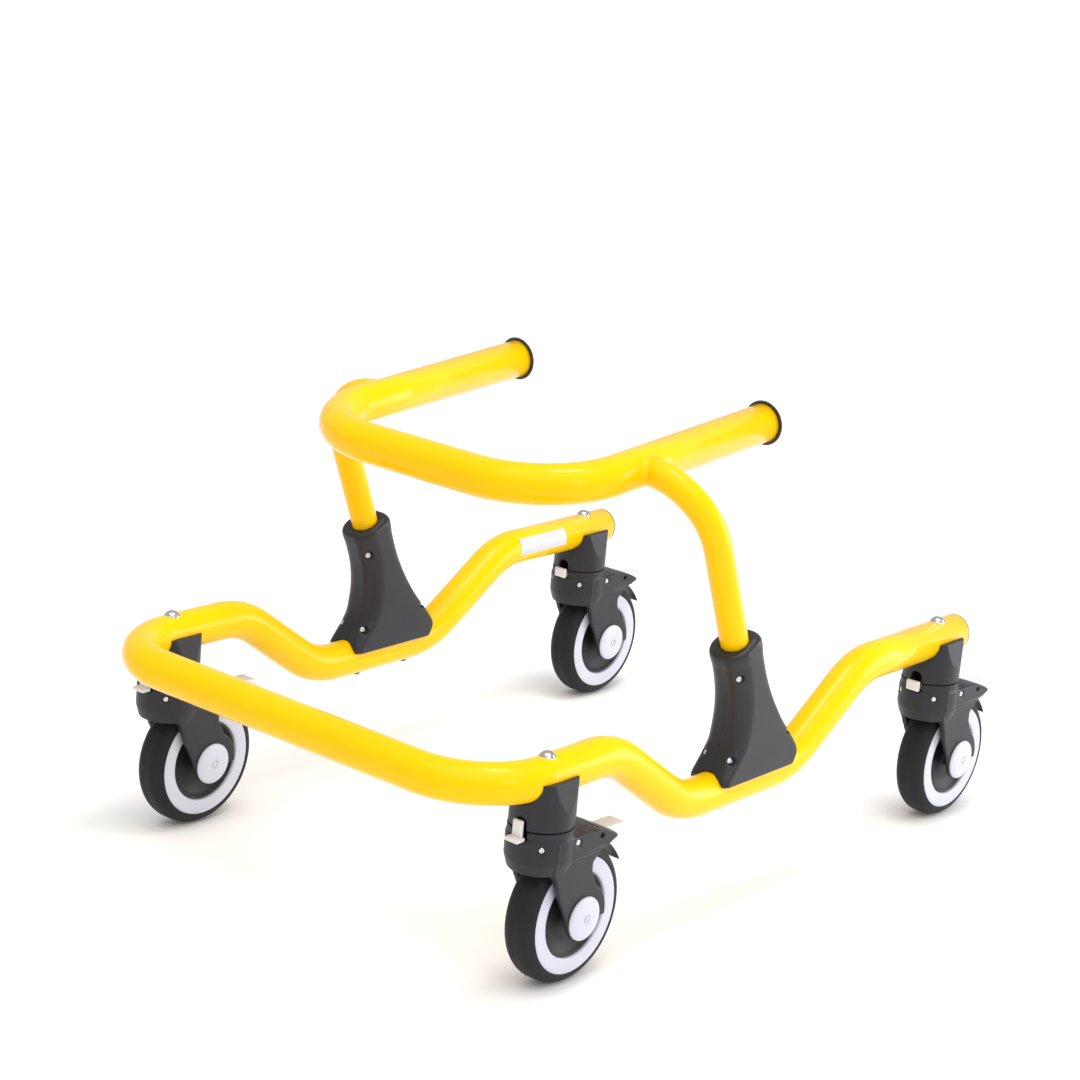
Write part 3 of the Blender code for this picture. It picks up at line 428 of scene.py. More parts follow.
def plug_plastic():
    """Plain black plastic of the end plugs and the brake shoes."""
    return finish("plug_plastic_black", (0.022, 0.022, 0.024), 0.42, mottle=0.15, grain_depth=0.03)


def lever_plastic():
    """Pale plastic of the brake pedals and lock tabs."""
    return finish("lever_plastic_pale", bpy.context.scene.walker_casters.lever_colour, 0.38,
                  mottle=0.02, grain_scale=1500.0, grain_depth=0.02)


def ring_plastic():
    """Cool pale plastic of the wheel rings and hub caps."""
    return finish("ring_plastic_pale", bpy.context.scene.walker_casters.ring_colour, 0.4,
                  mottle=0.02, grain_scale=1500.0, grain_depth=0.02)


def tread_rubber():
    """Dark tyre rubber, dull and very slightly dusty."""
    return finish("tread_rubber_dark", bpy.context.scene.walker_casters.tread_colour, 0.56,
                  mottle=0.16, mottle_scale=55.0, grain_scale=1100.0, grain_depth=0.06,
                  rough_spread=0.08, scuff=0.02, specular=0.2)


def core_plastic():
    """Near-black plastic of the wheel cores."""
    return finish("core_plastic_dark", (0.012, 0.012, 0.014), 0.5, mottle=0.15, grain_depth=0.05,
                  specular=0.35)


def bright_chrome():
    """Polished chrome with faint handling marks."""
    return finish("chrome_bright", (0.6, 0.6, 0.62), 0.12, metallic=1.0, mottle=0.03,
                  grain_scale=700.0, grain_depth=0.006, rough_spread=0.05)


def zinc_steel():
    """Bright zinc of the screws."""
    return finish("zinc_steel", (0.66, 0.67, 0.69), 0.25, metallic=1.0, mottle=0.08,
                  mottle_scale=300.0, grain_scale=1600.0, grain_depth=0.012, rough_spread=0.08)


def black_steel():
    """Black oxide of the saddle bolts."""
    return finish("black_oxide_steel", (0.05, 0.05, 0.052), 0.38, metallic=0.8, mottle=0.2,
                  mottle_scale=300.0, grain_depth=0.015)


def label_paper():
    """The blank sticker's matt paper."""
    return finish("label_paper_blank", (0.58, 0.59, 0.61), 0.5, mottle=0.03, mottle_scale=220.0,
                  grain_scale=2600.0, grain_depth=0.01)


def piece(name, bm, material, body, replaced=(), slot=None, crease=32):
    """A finished piece: its mesh, finish, body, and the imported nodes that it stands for."""
    mesh = bpy.data.meshes.new(name)
    bm.to_mesh(mesh)
    bm.free()
    mesh.shade_smooth()
    mesh.set_sharp_from_angle(angle=math.radians(crease))
    mesh.materials.append(material)
    made = bpy.data.objects.new(name, mesh)
    bpy.context.scene.collection.objects.link(made)
    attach(made, body)
    if replaced:
        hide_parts(*replaced)
    return made


# ------------------------------------------------------------------ lines of the frame

def rail_line():
    """Corners and bends of the lower tube, from its right rear end round to its left one."""
    right = [(-TRACK / 2, y, z) for y, z in RAIL_CORNERS]
    left = [(TRACK / 2, y, z) for y, z in reversed(RAIL_CORNERS)]
    return right + left, RAIL_BENDS + RAIL_BENDS[::-1]


def ring_line():
    """Corners and bends of the support ring."""
    x = RING_SPAN / 2
    return ((-x, *RING_REAR), (-x, *RING_FRONT), (x, *RING_FRONT), (x, *RING_REAR)), (RING_BEND,) * 2


def arm_height(y):
    """Height of the ring's sloping arms."""
    share = (y - RING_FRONT[0]) / (RING_REAR[0] - RING_FRONT[0])
    return RING_FRONT[1] + share * (RING_REAR[1] - RING_FRONT[1])


def upright_y(z):
    """Where an upright's axis is along Y at a height."""
    return UPRIGHT_Y + (arm_height(UPRIGHT_Y) - z) * math.tan(UPRIGHT_LEAN)


def upright_line(side, start_x):
    """Corners and bend of one upright, from the ring's arm down into its bracket."""
    x = side * TRACK / 2
    top = arm_height(UPRIGHT_Y)
    corners = ((side * start_x, UPRIGHT_Y, top), (x, UPRIGHT_Y, top),
               (x, upright_y(UPRIGHT_FOOT_Z), UPRIGHT_FOOT_Z))
    return corners, (UPRIGHT_BEND,)


def rail_cutter(grow=0.3 * MM, sides=48):
    """The lower tube with a little clearance, as a closed solid."""
    corners, bends = rail_line()
    radius = bpy.context.scene.walker_tubes.radius
    return mended(capped(bent_tube(corners, bends, radius + grow, sides)))


def casters():
    """Each caster's name and the place of its stem on the floor plan."""
    for joint in frame["joints"]:
        if joint["name"].startswith("swivel_"):
            x, y, _ = joint["pos_m"]
            yield joint["name"].removeprefix("swivel_"), Vector((x, y, 0))


# ------------------------------------------------------------------ tubes

def add_lower_tube():
    """The bent lower tube, with a real wall at its open ends."""
    tubes = bpy.context.scene.walker_tubes
    corners, bends = rail_line()
    bm = mended(bent_tube(corners, bends, tubes.radius, tubes.sides))
    made = piece("lower_tube", bm, powder_coat(), "frame", ["lower_frame"], "yellow_powder_coat")
    wall_thickness(made)


def wall_thickness(made):
    """Gives an open tube its wall, inwards."""
    wall = made.modifiers.new("wall", "SOLIDIFY")
    wall.thickness = bpy.context.scene.walker_tubes.wall
    wall.offset = -1


def weld_bead(side):
    """The fillet that runs out from an upright onto the ring's arm, wider along the arm."""
    tubes = bpy.context.scene.walker_tubes
    slope = (RING_REAR[1] - RING_FRONT[1]) / (RING_REAR[0] - RING_FRONT[0])
    bm = bmesh.new()
    rim = bmesh.ops.create_circle(bm, segments=96, radius=1)["verts"]
    rings = [rim]
    for _ in range(8):
        rim = drawn(bm, rim, (0, 0, 0))
        rings.append(rim)
    for ring, verts in enumerate(rings):
        share = ring / (len(rings) - 1)
        flare = (1 - share) ** 2.2
        for i, vert in enumerate(verts):
            angle = math.atan2(vert.co.y, vert.co.x)
            ripple = 0.25 * MM * math.sin(26 * angle) * (1 - share)
            along = (7 if math.cos(angle) < 0 else 4) * MM * math.cos(angle) ** 2
            reach = tubes.upright_radius + (along + 1.8 * MM + ripple) * flare
            dy, dz = reach * math.cos(angle), reach * math.sin(angle)
            across = (dz - slope * dy) / math.hypot(1, slope)
            out = math.sqrt(tubes.radius ** 2 - across ** 2) + 6 * MM * share ** 1.6
            vert.co = (side * (RING_SPAN / 2 + out), UPRIGHT_Y + dy, arm_height(UPRIGHT_Y) + dz)
    return mended(bm)


def add_upper_tubes():
    """The support ring, its two uprights and the weld beads between them."""
    tubes = bpy.context.scene.walker_tubes
    corners, bends = ring_line()
    ring = mended(bent_tube(corners, bends, tubes.radius, tubes.sides))
    made = piece("support_ring_tube", ring, powder_coat(), "frame", ["upper_frame"],
                 "yellow_powder_coat")
    wall_thickness(made)
    for side, word in SIDES:
        corners, bends = upright_line(side, RING_SPAN / 2 + tubes.radius - 6 * MM)
        bar = mended(capped(bent_tube(corners, bends, tubes.upright_radius, tubes.sides - 8)))
        piece(f"upright_tube_{word}", bar, powder_coat(), "frame", slot="yellow_powder_coat")
        piece(f"weld_bead_{word}", weld_bead(side), powder_coat(), "frame", slot="yellow_powder_coat",
              crease=60)


def add_end_plugs():
    """Flanged plugs in the ring's arms and thin ones in the lower tube."""
    tubes = bpy.context.scene.walker_tubes
    slope = Vector((0, RING_REAR[0] - RING_FRONT[0], RING_REAR[1] - RING_FRONT[1])).normalized()
    bore = tubes.radius - tubes.wall - 0.2 * MM
    spigot = ((0, -14 * MM, 0), (bore, -14 * MM, 1 * MM), (bore, 0.2 * MM, 0))
    rim = tubes.radius + 3 * MM
    ring_flange = (*spigot, (rim, 0.2 * MM, 0.7 * MM), (rim, 2 * MM, 1.2 * MM),
                   (14 * MM, 3.6 * MM, 4 * MM), (0, 3.6 * MM, 0))
    rail_flange = (*spigot, (tubes.radius, 0.2 * MM, 0.3 * MM), (tubes.radius, 1.9 * MM, 0.8 * MM),
                   (12 * MM, 2.3 * MM, 0), (0, 2.3 * MM, 0))
    for side, word in SIDES:
        for name, node_name, profile, end, outward in (
                ("arm_plug", "ring_plug", ring_flange, (side * RING_SPAN / 2, *RING_REAR), slope),
                ("rail_plug", "frame_plug", rail_flange, (side * TRACK / 2, REAR_Y, HIGH_Z),
                 Vector((0, 1, 0)))):
            turn = outward.to_track_quat("Z", "Y").to_matrix().to_4x4()
            piece(f"{name}_{word}", at(turned(profile, 72), end, turn), plug_plastic(), "frame",
                  [f"{node_name}_{word}"], "plug_plastic")


# ------------------------------------------------------------------ brackets

def smooth_line(points, steps=5):
    """A smooth line through points in the (y, z) view."""
    ends = [points[0], *points, points[-1]]
    line = []
    for a, b, c, d in zip(ends, ends[1:], ends[2:], ends[3:]):
        for i in range(steps):
            t = i / steps
            line.append(0.5 * (2 * b + (c - a) * t + (2 * a - 5 * b + 4 * c - d) * t * t
                               + (3 * b - a - 3 * c + d) * t ** 3))
    return line + [points[-1]]


def bracket_section(ahead, behind, half, front_round, rear_round):
    """Plan outline of a bracket: round front corners with a soft crease, and round rear ones."""
    last = math.radians(76)
    right = [(half - front_round + front_round * math.sin(last * i / 12) / math.sin(last),
              -ahead + front_round * (1 - math.cos(last * i / 12)) / (1 - math.cos(last)))
             for i in range(13)]
    right += [(half - rear_round + rear_round * math.cos(math.pi / 16 * i),
               behind - rear_round + rear_round * math.sin(math.pi / 16 * i)) for i in range(9)]
    return right + [(-x, y) for x, y in reversed(right)]


def bracket_blank():
    """The bracket before it is bored, drawn up from its foot to the domed rim of its collar."""
    size = bpy.context.scene.walker_brackets
    levels = [(level, 0.0) for level in smooth_line([Vector(level) for level in BRACKET_LEVELS])]
    top = levels[-1][0]
    for i in range(1, 7):
        angle = math.pi / 12 * i
        levels.append((top + Vector((COLLAR_DOME * math.sin(angle), 0, 0, 0)),
                       COLLAR_DOME * (1 - math.cos(angle))))
    bm = bmesh.new()
    rim = None
    for (rise, ahead, behind, lift), inset in levels:
        share = min(1.0, rise / top[0])
        front = size.front_round * min(1.0, 0.3 + (rise - 9) / 50)
        rear = size.rear_round + max(0.0, share - 0.5) / 0.5 * (12.5 * MM - size.rear_round)
        band = 0.5 * MM if rise < COLLAR_BAND else 0
        half = size.half_width * (1 - 0.065 * share) - band
        points = bracket_section(ahead * MM - band, behind * MM - band, half, front, rear)
        if rim is None:
            rim = bmesh.ops.create_circle(bm, segments=len(points), radius=1)["verts"]
        else:
            rim = drawn(bm, rim, (0, 0, 0))
        z = LOW_Z + rise * MM
        for vert, (x, y) in zip(rim, points):
            tilt = lift * (y / MM + (ahead - behind) / 2) / (ahead + behind)
            scale_x = 1 - inset * MM / half
            scale_y = 1 - inset * MM / (0.5 * (ahead + behind) * MM)
            vert.co = (x * scale_x, upright_y(z) + y * scale_y, z + tilt * MM)
    return mended(capped(bm))


def screw_place(rise, ahead):
    """Where a clamp screw crosses the side view."""
    z = LOW_Z + rise
    return upright_y(z) - ahead, z


def bracket_body():
    """A whole bracket about x = 0, bored for the tubes and recessed for the screws."""
    tubes = bpy.context.scene.walker_tubes
    size = bpy.context.scene.walker_brackets
    body = bracket_blank()
    corners, bends = upright_line(1, RING_SPAN / 2)
    shift = Matrix.Translation((-TRACK / 2, 0, 0))
    bore = carried(mended(capped(bent_tube(corners, bends, tubes.upright_radius + 0.4 * MM))), shift)
    tools = [carried(rail_cutter(), shift), bore]
    for _, rise, ahead in CLAMP_SCREWS:
        y, z = screw_place(rise, ahead)
        well = at(rod(3.7 * MM, 12.6 * MM, size.half_width + CLEAR), (0, y, z), ALONG_X)
        tools += [copied(well, MIRROR_X), well]
    notch_z = LOW_Z + 43 * MM
    notch_y = upright_y(notch_z) + 31 * MM
    tools.append(at(block((15 * MM, -2.2 * MM, -3 * MM), (26 * MM, 6 * MM, 3 * MM)),
                    (0, notch_y, notch_z), Matrix.Rotation(math.radians(45), 4, "X")))
    return moulded(cut(body, *tools), size.fineness, 4)


def split_half(body, half):
    """The half of a bracket on one side of its seam."""
    bm = body.copy()
    bmesh.ops.bisect_plane(bm, geom=bm.verts[:] + bm.edges[:] + bm.faces[:], dist=1e-6,
                           plane_co=(half * SEAM / 2, 0, 0), plane_no=(-half, 0, 0), clear_outer=True)
    return mended(capped(bm))


def add_brackets():
    """Two moulded halves on each side, with a seam between them."""
    body = bracket_body()
    for half, name, other in ((1, "outer", "inner"), (-1, "inner", "outer")):
        bm = split_half(body, half)
        for side, word, label in ((1, "left", name), (-1, "right", other)):
            place = Matrix.Translation((side * TRACK / 2, 0, 0))
            piece(f"bracket_shell_{label}_{word}", copied(bm, place), bracket_plastic(), "frame",
                  [f"bracket_{label}_{word}"], "bracket_plastic", 70)
        bm.free()
    body.free()


def pan_head(radius, height, socket, shank, length):
    """A domed screw with a round-bottomed drive, its head standing up along Z."""
    rim = 0.45 * height
    return turned(((0, height - socket, 0), (0.32 * radius, height - 0.9 * socket, 0),
                   (0.42 * radius, height, 0.1 * radius), (0.75 * radius, 0.86 * height, 0.3 * radius),
                   (radius, rim, 0.15 * radius), (radius, 0, 0), (shank, 0, 0), (shank, -length, 0),
                   (0, -length, 0)), 32)


def hex_nut(radius, height, bore):
    """A nut about Z with its corners eased."""
    bm = bmesh.new()
    bmesh.ops.create_cone(bm, cap_ends=True, segments=6, radius1=radius, radius2=radius, depth=height)
    bm = cut(bm, rod(bore, -height, height, 24))
    return rounded(bm, 0.25 * MM, 2)


def add_bracket_screws():
    """Clamp screws with their nuts, and the saddle bolts up through the low rails."""
    tubes = bpy.context.scene.walker_tubes
    for side, word in SIDES:
        for level, rise, ahead in CLAMP_SCREWS:
            y, z = screw_place(rise, ahead)
            head = at(pan_head(3.2 * MM, 2.4 * MM, 1.2 * MM, 1.9 * MM, 23 * MM), (12.7 * MM, 0, 0),
                      ALONG_X)
            nut = at(hex_nut(3.2 * MM, 2.2 * MM, 1.8 * MM), (-12.4 * MM, 0, 0), ALONG_X)
            screw = carried(together(head, nut), Matrix.Translation((side * TRACK / 2, y, z)))
            piece(f"clamp_screw_{level}_set_{word}", screw, zinc_steel(), "frame",
                  [f"clamp_screw_{level}_{word}"], "screw_steel")
        for end, offset in SADDLE_BOLTS:
            place = (side * TRACK / 2, upright_y(LOW_Z) + offset, LOW_Z - tubes.radius + 0.2 * MM)
            bolt = pan_head(3.9 * MM, 3.3 * MM, 1.8 * MM, 2.4 * MM, 40 * MM)
            bolt = at(bolt, place, Matrix.Rotation(math.pi, 4, "X"))
            piece(f"saddle_bolt_{end}_set_{word}", bolt, black_steel(), "frame",
                  [f"saddle_bolt_{end}_{word}"], "black_steel")


# ------------------------------------------------------------------ casters

def adaptor_shape(stem):
    """The housing under the rail, with a slanting flat on each cheek and the lock tab's slot."""
    low, top = SWIVEL_Z + SWIVEL_GAP / 2, HIGH_Z + ADAPTOR_RISE
    radius = ADAPTOR_RADIUS
    body = rod(radius, low, top, 96)
    slope_z, top_x = HIGH_Z - CHEEK_BASE_DROP, CHEEK_TOP_X
    over = top_x - (radius - top_x) / (top - slope_z) * CLEAR
    far = radius + CLEAR
    slot, slot_z, slot_back = 5.8 * MM, 157 * MM, 10.4 * MM
    tools = [block((-slot, -far, 0), (slot, -slot_back, slot_z)),
             at(rod(slot, slot_back, far, 40), (0, 0, slot_z), Matrix.Rotation(math.pi / 2, 4, "X"))]
    corners = ((radius, slope_z), (far, slope_z), (far, top + CLEAR), (over, top + CLEAR))
    tools += [extruded([(side * x, -far, z) for x, z in corners], (0, 2 * far, 0))
              for side in (1, -1)]
    tools.append(rod(STEM_BORE, low - CLEAR, top, 32))
    tools.append(at(rail_cutter(), (-stem.x, -stem.y, 0)))
    return moulded(cut(body, *tools), ADAPTOR_GRID, 3)


def add_adaptors():
    """A housing and its domed chrome bolt at each caster."""
    crown = HIGH_Z + bpy.context.scene.walker_tubes.radius
    for name, stem in casters():
        piece(f"adaptor_shell_{name}", at(adaptor_shape(stem), stem), shell_plastic(),
              "frame", [f"caster_adaptor_{name}"], "adaptor_plastic", 70)
        bolt = turned(((0, crown + 4 * MM, 0), (3 * MM, crown + 3.7 * MM, 1.5 * MM),
                       (5.8 * MM, crown + 2 * MM, 1.5 * MM), (6.3 * MM, crown + 0.5 * MM, 0.3 * MM),
                       (7.4 * MM, crown + 0.2 * MM, 0.4 * MM), (7.4 * MM, crown - 1.6 * MM, 0),
                       (STEM_RADIUS, crown - 1.6 * MM, 0), (STEM_RADIUS, STEM_FOOT_Z, 0),
                       (0, STEM_FOOT_Z, 0)), 48)
        piece(f"stem_dome_{name}", at(bolt, stem), bright_chrome(), "frame",
              [f"stem_bolt_{name}"], "chrome")


def millimetres(points):
    """Side-view points given in millimetres."""
    return [(y * MM, z * MM) for y, z in points]


def arc(centre, radius, start, end, count):
    """Side-view points on an arc, its angles in degrees."""
    return [(centre[0] + radius * math.cos(math.radians(start + (end - start) * i / count)),
             centre[1] + radius * math.sin(math.radians(start + (end - start) * i / count)))
            for i in range(count + 1)]


def axle_point():
    """The wheel's axle in the side view, from the stem and the floor."""
    return TRAIL, bpy.context.scene.walker_casters.wheel_radius


def hood_blank():
    """The hood over the pedal, its rear corners rounded in the plan."""
    bm = prism(millimetres(HOOD_TOP + HOOD_LIP), HOOD_SIDE)
    bmesh.ops.subdivide_edges(bm, edges=[edge for edge in bm.edges
                                         if abs(edge.verts[0].co.x - edge.verts[1].co.x) > MM], cuts=8)
    start, end = 50 * MM, 75 * MM
    for vert in bm.verts:
        along = max(0.0, vert.co.y - start) / (end - start)
        across = abs(vert.co.x) / HOOD_SIDE
        vert.co.x *= 1 - 0.06 * along ** 2
        vert.co.y -= 3 * MM * along * across ** 4
    return bm


def leg_blanks():
    """Both legs, flat inside and spreading outwards towards the crown."""
    axle = axle_point()
    outline = (millimetres(LEG_REAR) + arc(axle, 30 * MM, 62, -8, 14)
               + arc(axle, 20 * MM, -14, -149.5, 24) + millimetres(LEG_FRONT))
    bm = prism(outline, HOOD_SIDE)
    far, low = HOOD_SIDE + CLEAR, 20 * MM
    spread_z = axle[1] + 21 * MM
    corners = ((LEG_FOOT, low), (LEG_FOOT, spread_z), (HOOD_SIDE - 0.9 * MM, CROWN_WAIST_Z),
               (far, CROWN_WAIST_Z), (far, low))
    return cut(bm, *(extruded([(side * x, -far, z) for x, z in corners], (0, 4 * far, 0))
                     for side in (1, -1)))


def well_cutter():
    """The room for the wheel and the pedal between the legs."""
    axle = axle_point()
    pivot_y, pivot_z = PEDAL_PIVOT.y, PEDAL_PIVOT.z
    base, below = CROWN_BASE_Z, 20 * MM
    front, rear = -CROWN_RADIUS - CLEAR, 82 * MM
    radius = axle[1] + 3.5 * MM
    first = 180 - math.degrees(math.asin((base - axle[1]) / radius))
    roof_z, pocket_z = 129.9 * MM, pivot_z + 3.4 * MM
    roof = [(pivot_y - 5 * MM, axle[1] + radius), (pivot_y - 5 * MM, pocket_z),
            (pivot_y + 5 * MM, pocket_z), (70 * MM, roof_z), (rear, roof_z)]
    outline = (arc(axle, radius, first, 91, 24) + roof
               + [(rear, below), (front, below), (front, base)])
    return prism(outline, LEG_INNER)


def fork_shape():
    """The fork about its stem: round crown, hood, spread legs, and every hole in them."""
    base, step, top = CROWN_BASE_Z, 143.5 * MM, SWIVEL_Z - SWIVEL_GAP / 2
    crown = turned(((0, base, 0), (CROWN_RADIUS - 3 * MM, base, 0), (CROWN_RADIUS, CROWN_WAIST_Z, 0),
                    (CROWN_RADIUS, step, 0), (CROWN_RADIUS - 0.9 * MM, step + 0.6 * MM, 0),
                    (CROWN_RADIUS - 0.9 * MM, top, 0), (0, top, 0)), 96)
    body = boolean(boolean(crown, hood_blank(), "UNION"), leg_blanks(), "UNION")
    far = CROWN_RADIUS + CLEAR
    tab_side = TAB_SIDE + 0.3 * MM
    tools = [well_cutter(), at(rod(AXLE_BORE, -far, far), (0, *axle_point()), ALONG_X),
             at(rod(2.5 * MM, -far, far), PEDAL_PIVOT, ALONG_X),
             rod(STEM_BORE, base - CLEAR, SWIVEL_Z + CLEAR),
             block((-tab_side, -far, TAB_PIVOT.z - 3.4 * MM), (tab_side, -10.8 * MM, SWIVEL_Z + CLEAR))]
    for place, turn in screw_seats():
        tools.append(at(rod(3.3 * MM, -2.4 * MM, CLEAR), place, turn))
    return moulded(cut(body, *tools), bpy.context.scene.walker_casters.fineness, 4)


def screw_seats():
    """Place and turn of the four small screws in the crown's and the hood's sides."""
    z = SWIVEL_Z - RECESS_DROP
    for side in (1, -1):
        yield Vector((side * HOOD_SIDE, 16.5 * MM, z)), Matrix.Rotation(side * math.pi / 2, 4, "Y")
        bearing = math.radians(-47.7)
        out = Vector((side * math.cos(bearing), math.sin(bearing), 0))
        yield out * CROWN_RADIUS + Vector((0, 0, z)), out.to_track_quat("Z", "Y").to_matrix().to_4x4()


def add_forks():
    """A fork on each caster, with its shell screws, axle and hub cap."""
    fork = fork_shape()
    screws = together(*(at(pan_head(2.7 * MM, 1.7 * MM, 0.9 * MM, 1.5 * MM, 2 * MM),
                           place - turn.to_3x3() @ Vector((0, 0, 2.1 * MM)), turn)
                        for place, turn in screw_seats()))
    axle = Vector((0, *axle_point()))
    head = at(hex_nut(7.6 * MM, 3 * MM, 1 * MM), (-25.6 * MM, 0, 0), ALONG_X)
    washer = at(rod(8 * MM, -24 * MM, -23.6 * MM, 40), (0, 0, 0), ALONG_X)
    bar = at(rod(3.9 * MM, -25 * MM, 24 * MM), (0, 0, 0), ALONG_X)
    spindle = at(together(head, washer, bar), axle)
    face = LEG_FOOT + 0.3 * MM
    cap = at(turned(((0, face, 0), (19.3 * MM, face, 0.2 * MM), (19.5 * MM, face + 1.6 * MM, 0.9 * MM),
                     (16.5 * MM, face + 3.4 * MM, 3 * MM), (9 * MM, face + 4.1 * MM, 3 * MM),
                     (4.1 * MM, face + 4.2 * MM, 0.3 * MM), (3.7 * MM, face + 3.2 * MM, 0.2 * MM),
                     (0, face + 3.2 * MM, 0)), 96), axle, ALONG_X)
    pin = at(pan_head(2.6 * MM, 1.4 * MM, 0.9 * MM, 1.6 * MM, 1 * MM),
             axle + Vector((face + 3.2 * MM, 0, 0)), ALONG_X)
    for name, stem in casters():
        body = f"fork_{name}"
        place = Matrix.Translation(stem)
        piece(f"fork_shell_{name}", copied(fork, place), shell_plastic(), body,
              [f"caster_fork_{name}"], "fork_plastic", 70)
        piece(f"fork_screws_{name}", copied(screws, place), zinc_steel(), body, slot="screw_steel")
        piece(f"axle_bolt_{name}", copied(spindle, place), zinc_steel(), body, [f"axle_{name}"],
              "axle_steel")
        piece(f"hub_cap_dome_{name}", copied(cap, place), ring_plastic(), body,
              [f"hub_cap_{name}"], "cap_plastic")
        piece(f"hub_cap_screw_{name}", copied(pin, place), zinc_steel(), body, slot="screw_steel")
    for bm in (fork, screws, spindle, cap, pin):
        bm.free()


def pedal_shape():
    """The pale foot pedal on its hub, thick at the tip and hollow-backed towards the hood."""
    y, z = PEDAL_PIVOT.y / MM, PEDAL_PIVOT.z / MM
    outline = millimetres(((y - 1, z - 2.6), (y - 1, z + 2.4), (y + 2, z + 2.2), (60, 132.6), (69, 129.4),
                           (86, 128.8), (103, 128.2), (105.4, 127.2), (106, 125.2), (105.4, 122),
                           (102.5, 120.2), (92, 120.8), (82, 122.8), (72, 124.2), (62, 126.4)))
    plate = rounded(prism(outline, 9 * MM), 1.1 * MM, 4, angle=50)
    hub = at(rod(3 * MM, -19 * MM, 19 * MM, 40, 0.4 * MM), PEDAL_PIVOT, ALONG_X)
    return together(plate, hub)


def shoe_shape():
    """The thin black brake shoe that curves over the tread, and the stem that carries it."""
    axle = axle_point()
    inner, outer = ([arc(axle, axle[1] + gap + gain * i / 12, 54 - 27 * i / 12, 0, 1)[0]
                     for i in range(13)]
                    for gap, gain in ((4.4 * MM, 2.8 * MM), (6.4 * MM, 1.9 * MM)))
    blade = rounded(prism(inner + outer[::-1], 9 * MM), 0.5 * MM, 2, angle=50)
    stem = prism(millimetres(((62, 127), (74, 124.6), (80.5, 117.2), (78.6, 115.6), (74, 119.5),
                              (60, 124))), 5 * MM)
    return together(blade, rounded(stem, 0.5 * MM, 2))


def tab_shape(angle):
    """The direction-lock tab: a lip for the toe and a tongue that stands up when it is open."""
    half, thick = 4.8 * MM, 1.6 * MM
    lip = block((-TAB_SIDE, -2.6 * MM, -1.8 * MM), (TAB_SIDE, 0.7 * MM, 8.2 * MM))
    tongue = block((-half, -1 * MM, -thick), (half, 15 * MM, thick))
    return at(together(rounded(lip, 0.8 * MM), rounded(tongue, 0.6 * MM)), TAB_PIVOT,
              Matrix.Rotation(angle, 4, "X"))


def add_brakes():
    """Brake pedal, shoe and direction-lock tab on each caster."""
    pedal, shoe = pedal_shape(), shoe_shape()
    for name, stem in casters():
        place = Matrix.Translation(stem)
        piece(f"pedal_lever_{name}", copied(pedal, place), lever_plastic(), f"pedal_{name}",
              [f"brake_pedal_{name}"], "pedal_plastic")
        piece(f"brake_shoe_{name}", copied(shoe, place), plug_plastic(), f"pedal_{name}",
              slot="plug_plastic")
        angle = math.pi / 2 if name.startswith("front") else 0.0
        piece(f"lock_tab_lever_{name}", at(tab_shape(angle), stem), lever_plastic(), f"tab_{name}",
              [f"lock_tab_{name}"], "tab_plastic")
    pedal.free()
    shoe.free()


def both_sides(half):
    """A wheel's turned profile from the half on one side of its middle."""
    return half + tuple((radius, -x, corner) for radius, x, corner in reversed(half))


def tyre_shape():
    """The tyre, turned: full shoulders, a slightly crowned tread and its fine moulding line."""
    radius = bpy.context.scene.walker_casters.wheel_radius
    half, seat = 15.9 * MM, 52.2 * MM
    side = ((seat, 15.2 * MM, 0), (seat + 1.2 * MM, half, 0.6 * MM))
    shoulder = tuple((radius - 12 * MM + 12 * MM * math.cos(a), 4 * MM + 11.9 * MM * math.sin(a), 0)
                     for a in (math.radians(75 - 75 * i / 12) for i in range(13)))
    line = ((radius, 0.5 * MM, 0), (radius - 0.05 * MM, 0.25 * MM, 0))
    return turned(both_sides(side + shoulder + line), 128, closed=True)


def ring_shape():
    """The pale ring between tyre and core, with a shallow step near its rim."""
    half = ((38 * MM, 12 * MM, 0), (38.6 * MM, 14.9 * MM, 0.8 * MM), (40 * MM, 15.4 * MM, 0.5 * MM),
            (50.6 * MM, 15.4 * MM, 0.2 * MM), (50.9 * MM, 15.1 * MM, 0.1 * MM),
            (52.1 * MM, 15.1 * MM, 0.2 * MM))
    return turned(both_sides(half), 128, closed=True)


def core_shape():
    """The dark dished core with its boss."""
    half = ((4.2 * MM, 19 * MM, 0), (9.5 * MM, 19 * MM, 0.8 * MM), (10.2 * MM, 8.5 * MM, 1.5 * MM),
            (24 * MM, 7 * MM, 4 * MM), (34 * MM, 11 * MM, 2 * MM), (36.4 * MM, 13.4 * MM, 0.8 * MM),
            (37.8 * MM, 13.4 * MM, 0.3 * MM))
    return turned(both_sides(half), 96, closed=True)


def add_wheels():
    """Tyre, pale ring and dark core of each wheel."""
    axle = Vector((0, *axle_point()))
    kinds = (("tread", tyre_shape(), tread_rubber(), "tyre", "tyre_rubber"),
             ("rim_ring", ring_shape(), ring_plastic(), "wheel_ring", "wheel_ring_plastic"),
             ("rim_core", core_shape(), core_plastic(), "wheel_core", "wheel_core_plastic"))
    for label, bm, material, node_name, slot in kinds:
        for name, stem in casters():
            place = Matrix.Translation(stem + axle) @ ALONG_X
            piece(f"{label}_{name}", copied(bm, place), material, f"wheel_{name}",
                  [f"{node_name}_{name}"], slot)
        bm.free()


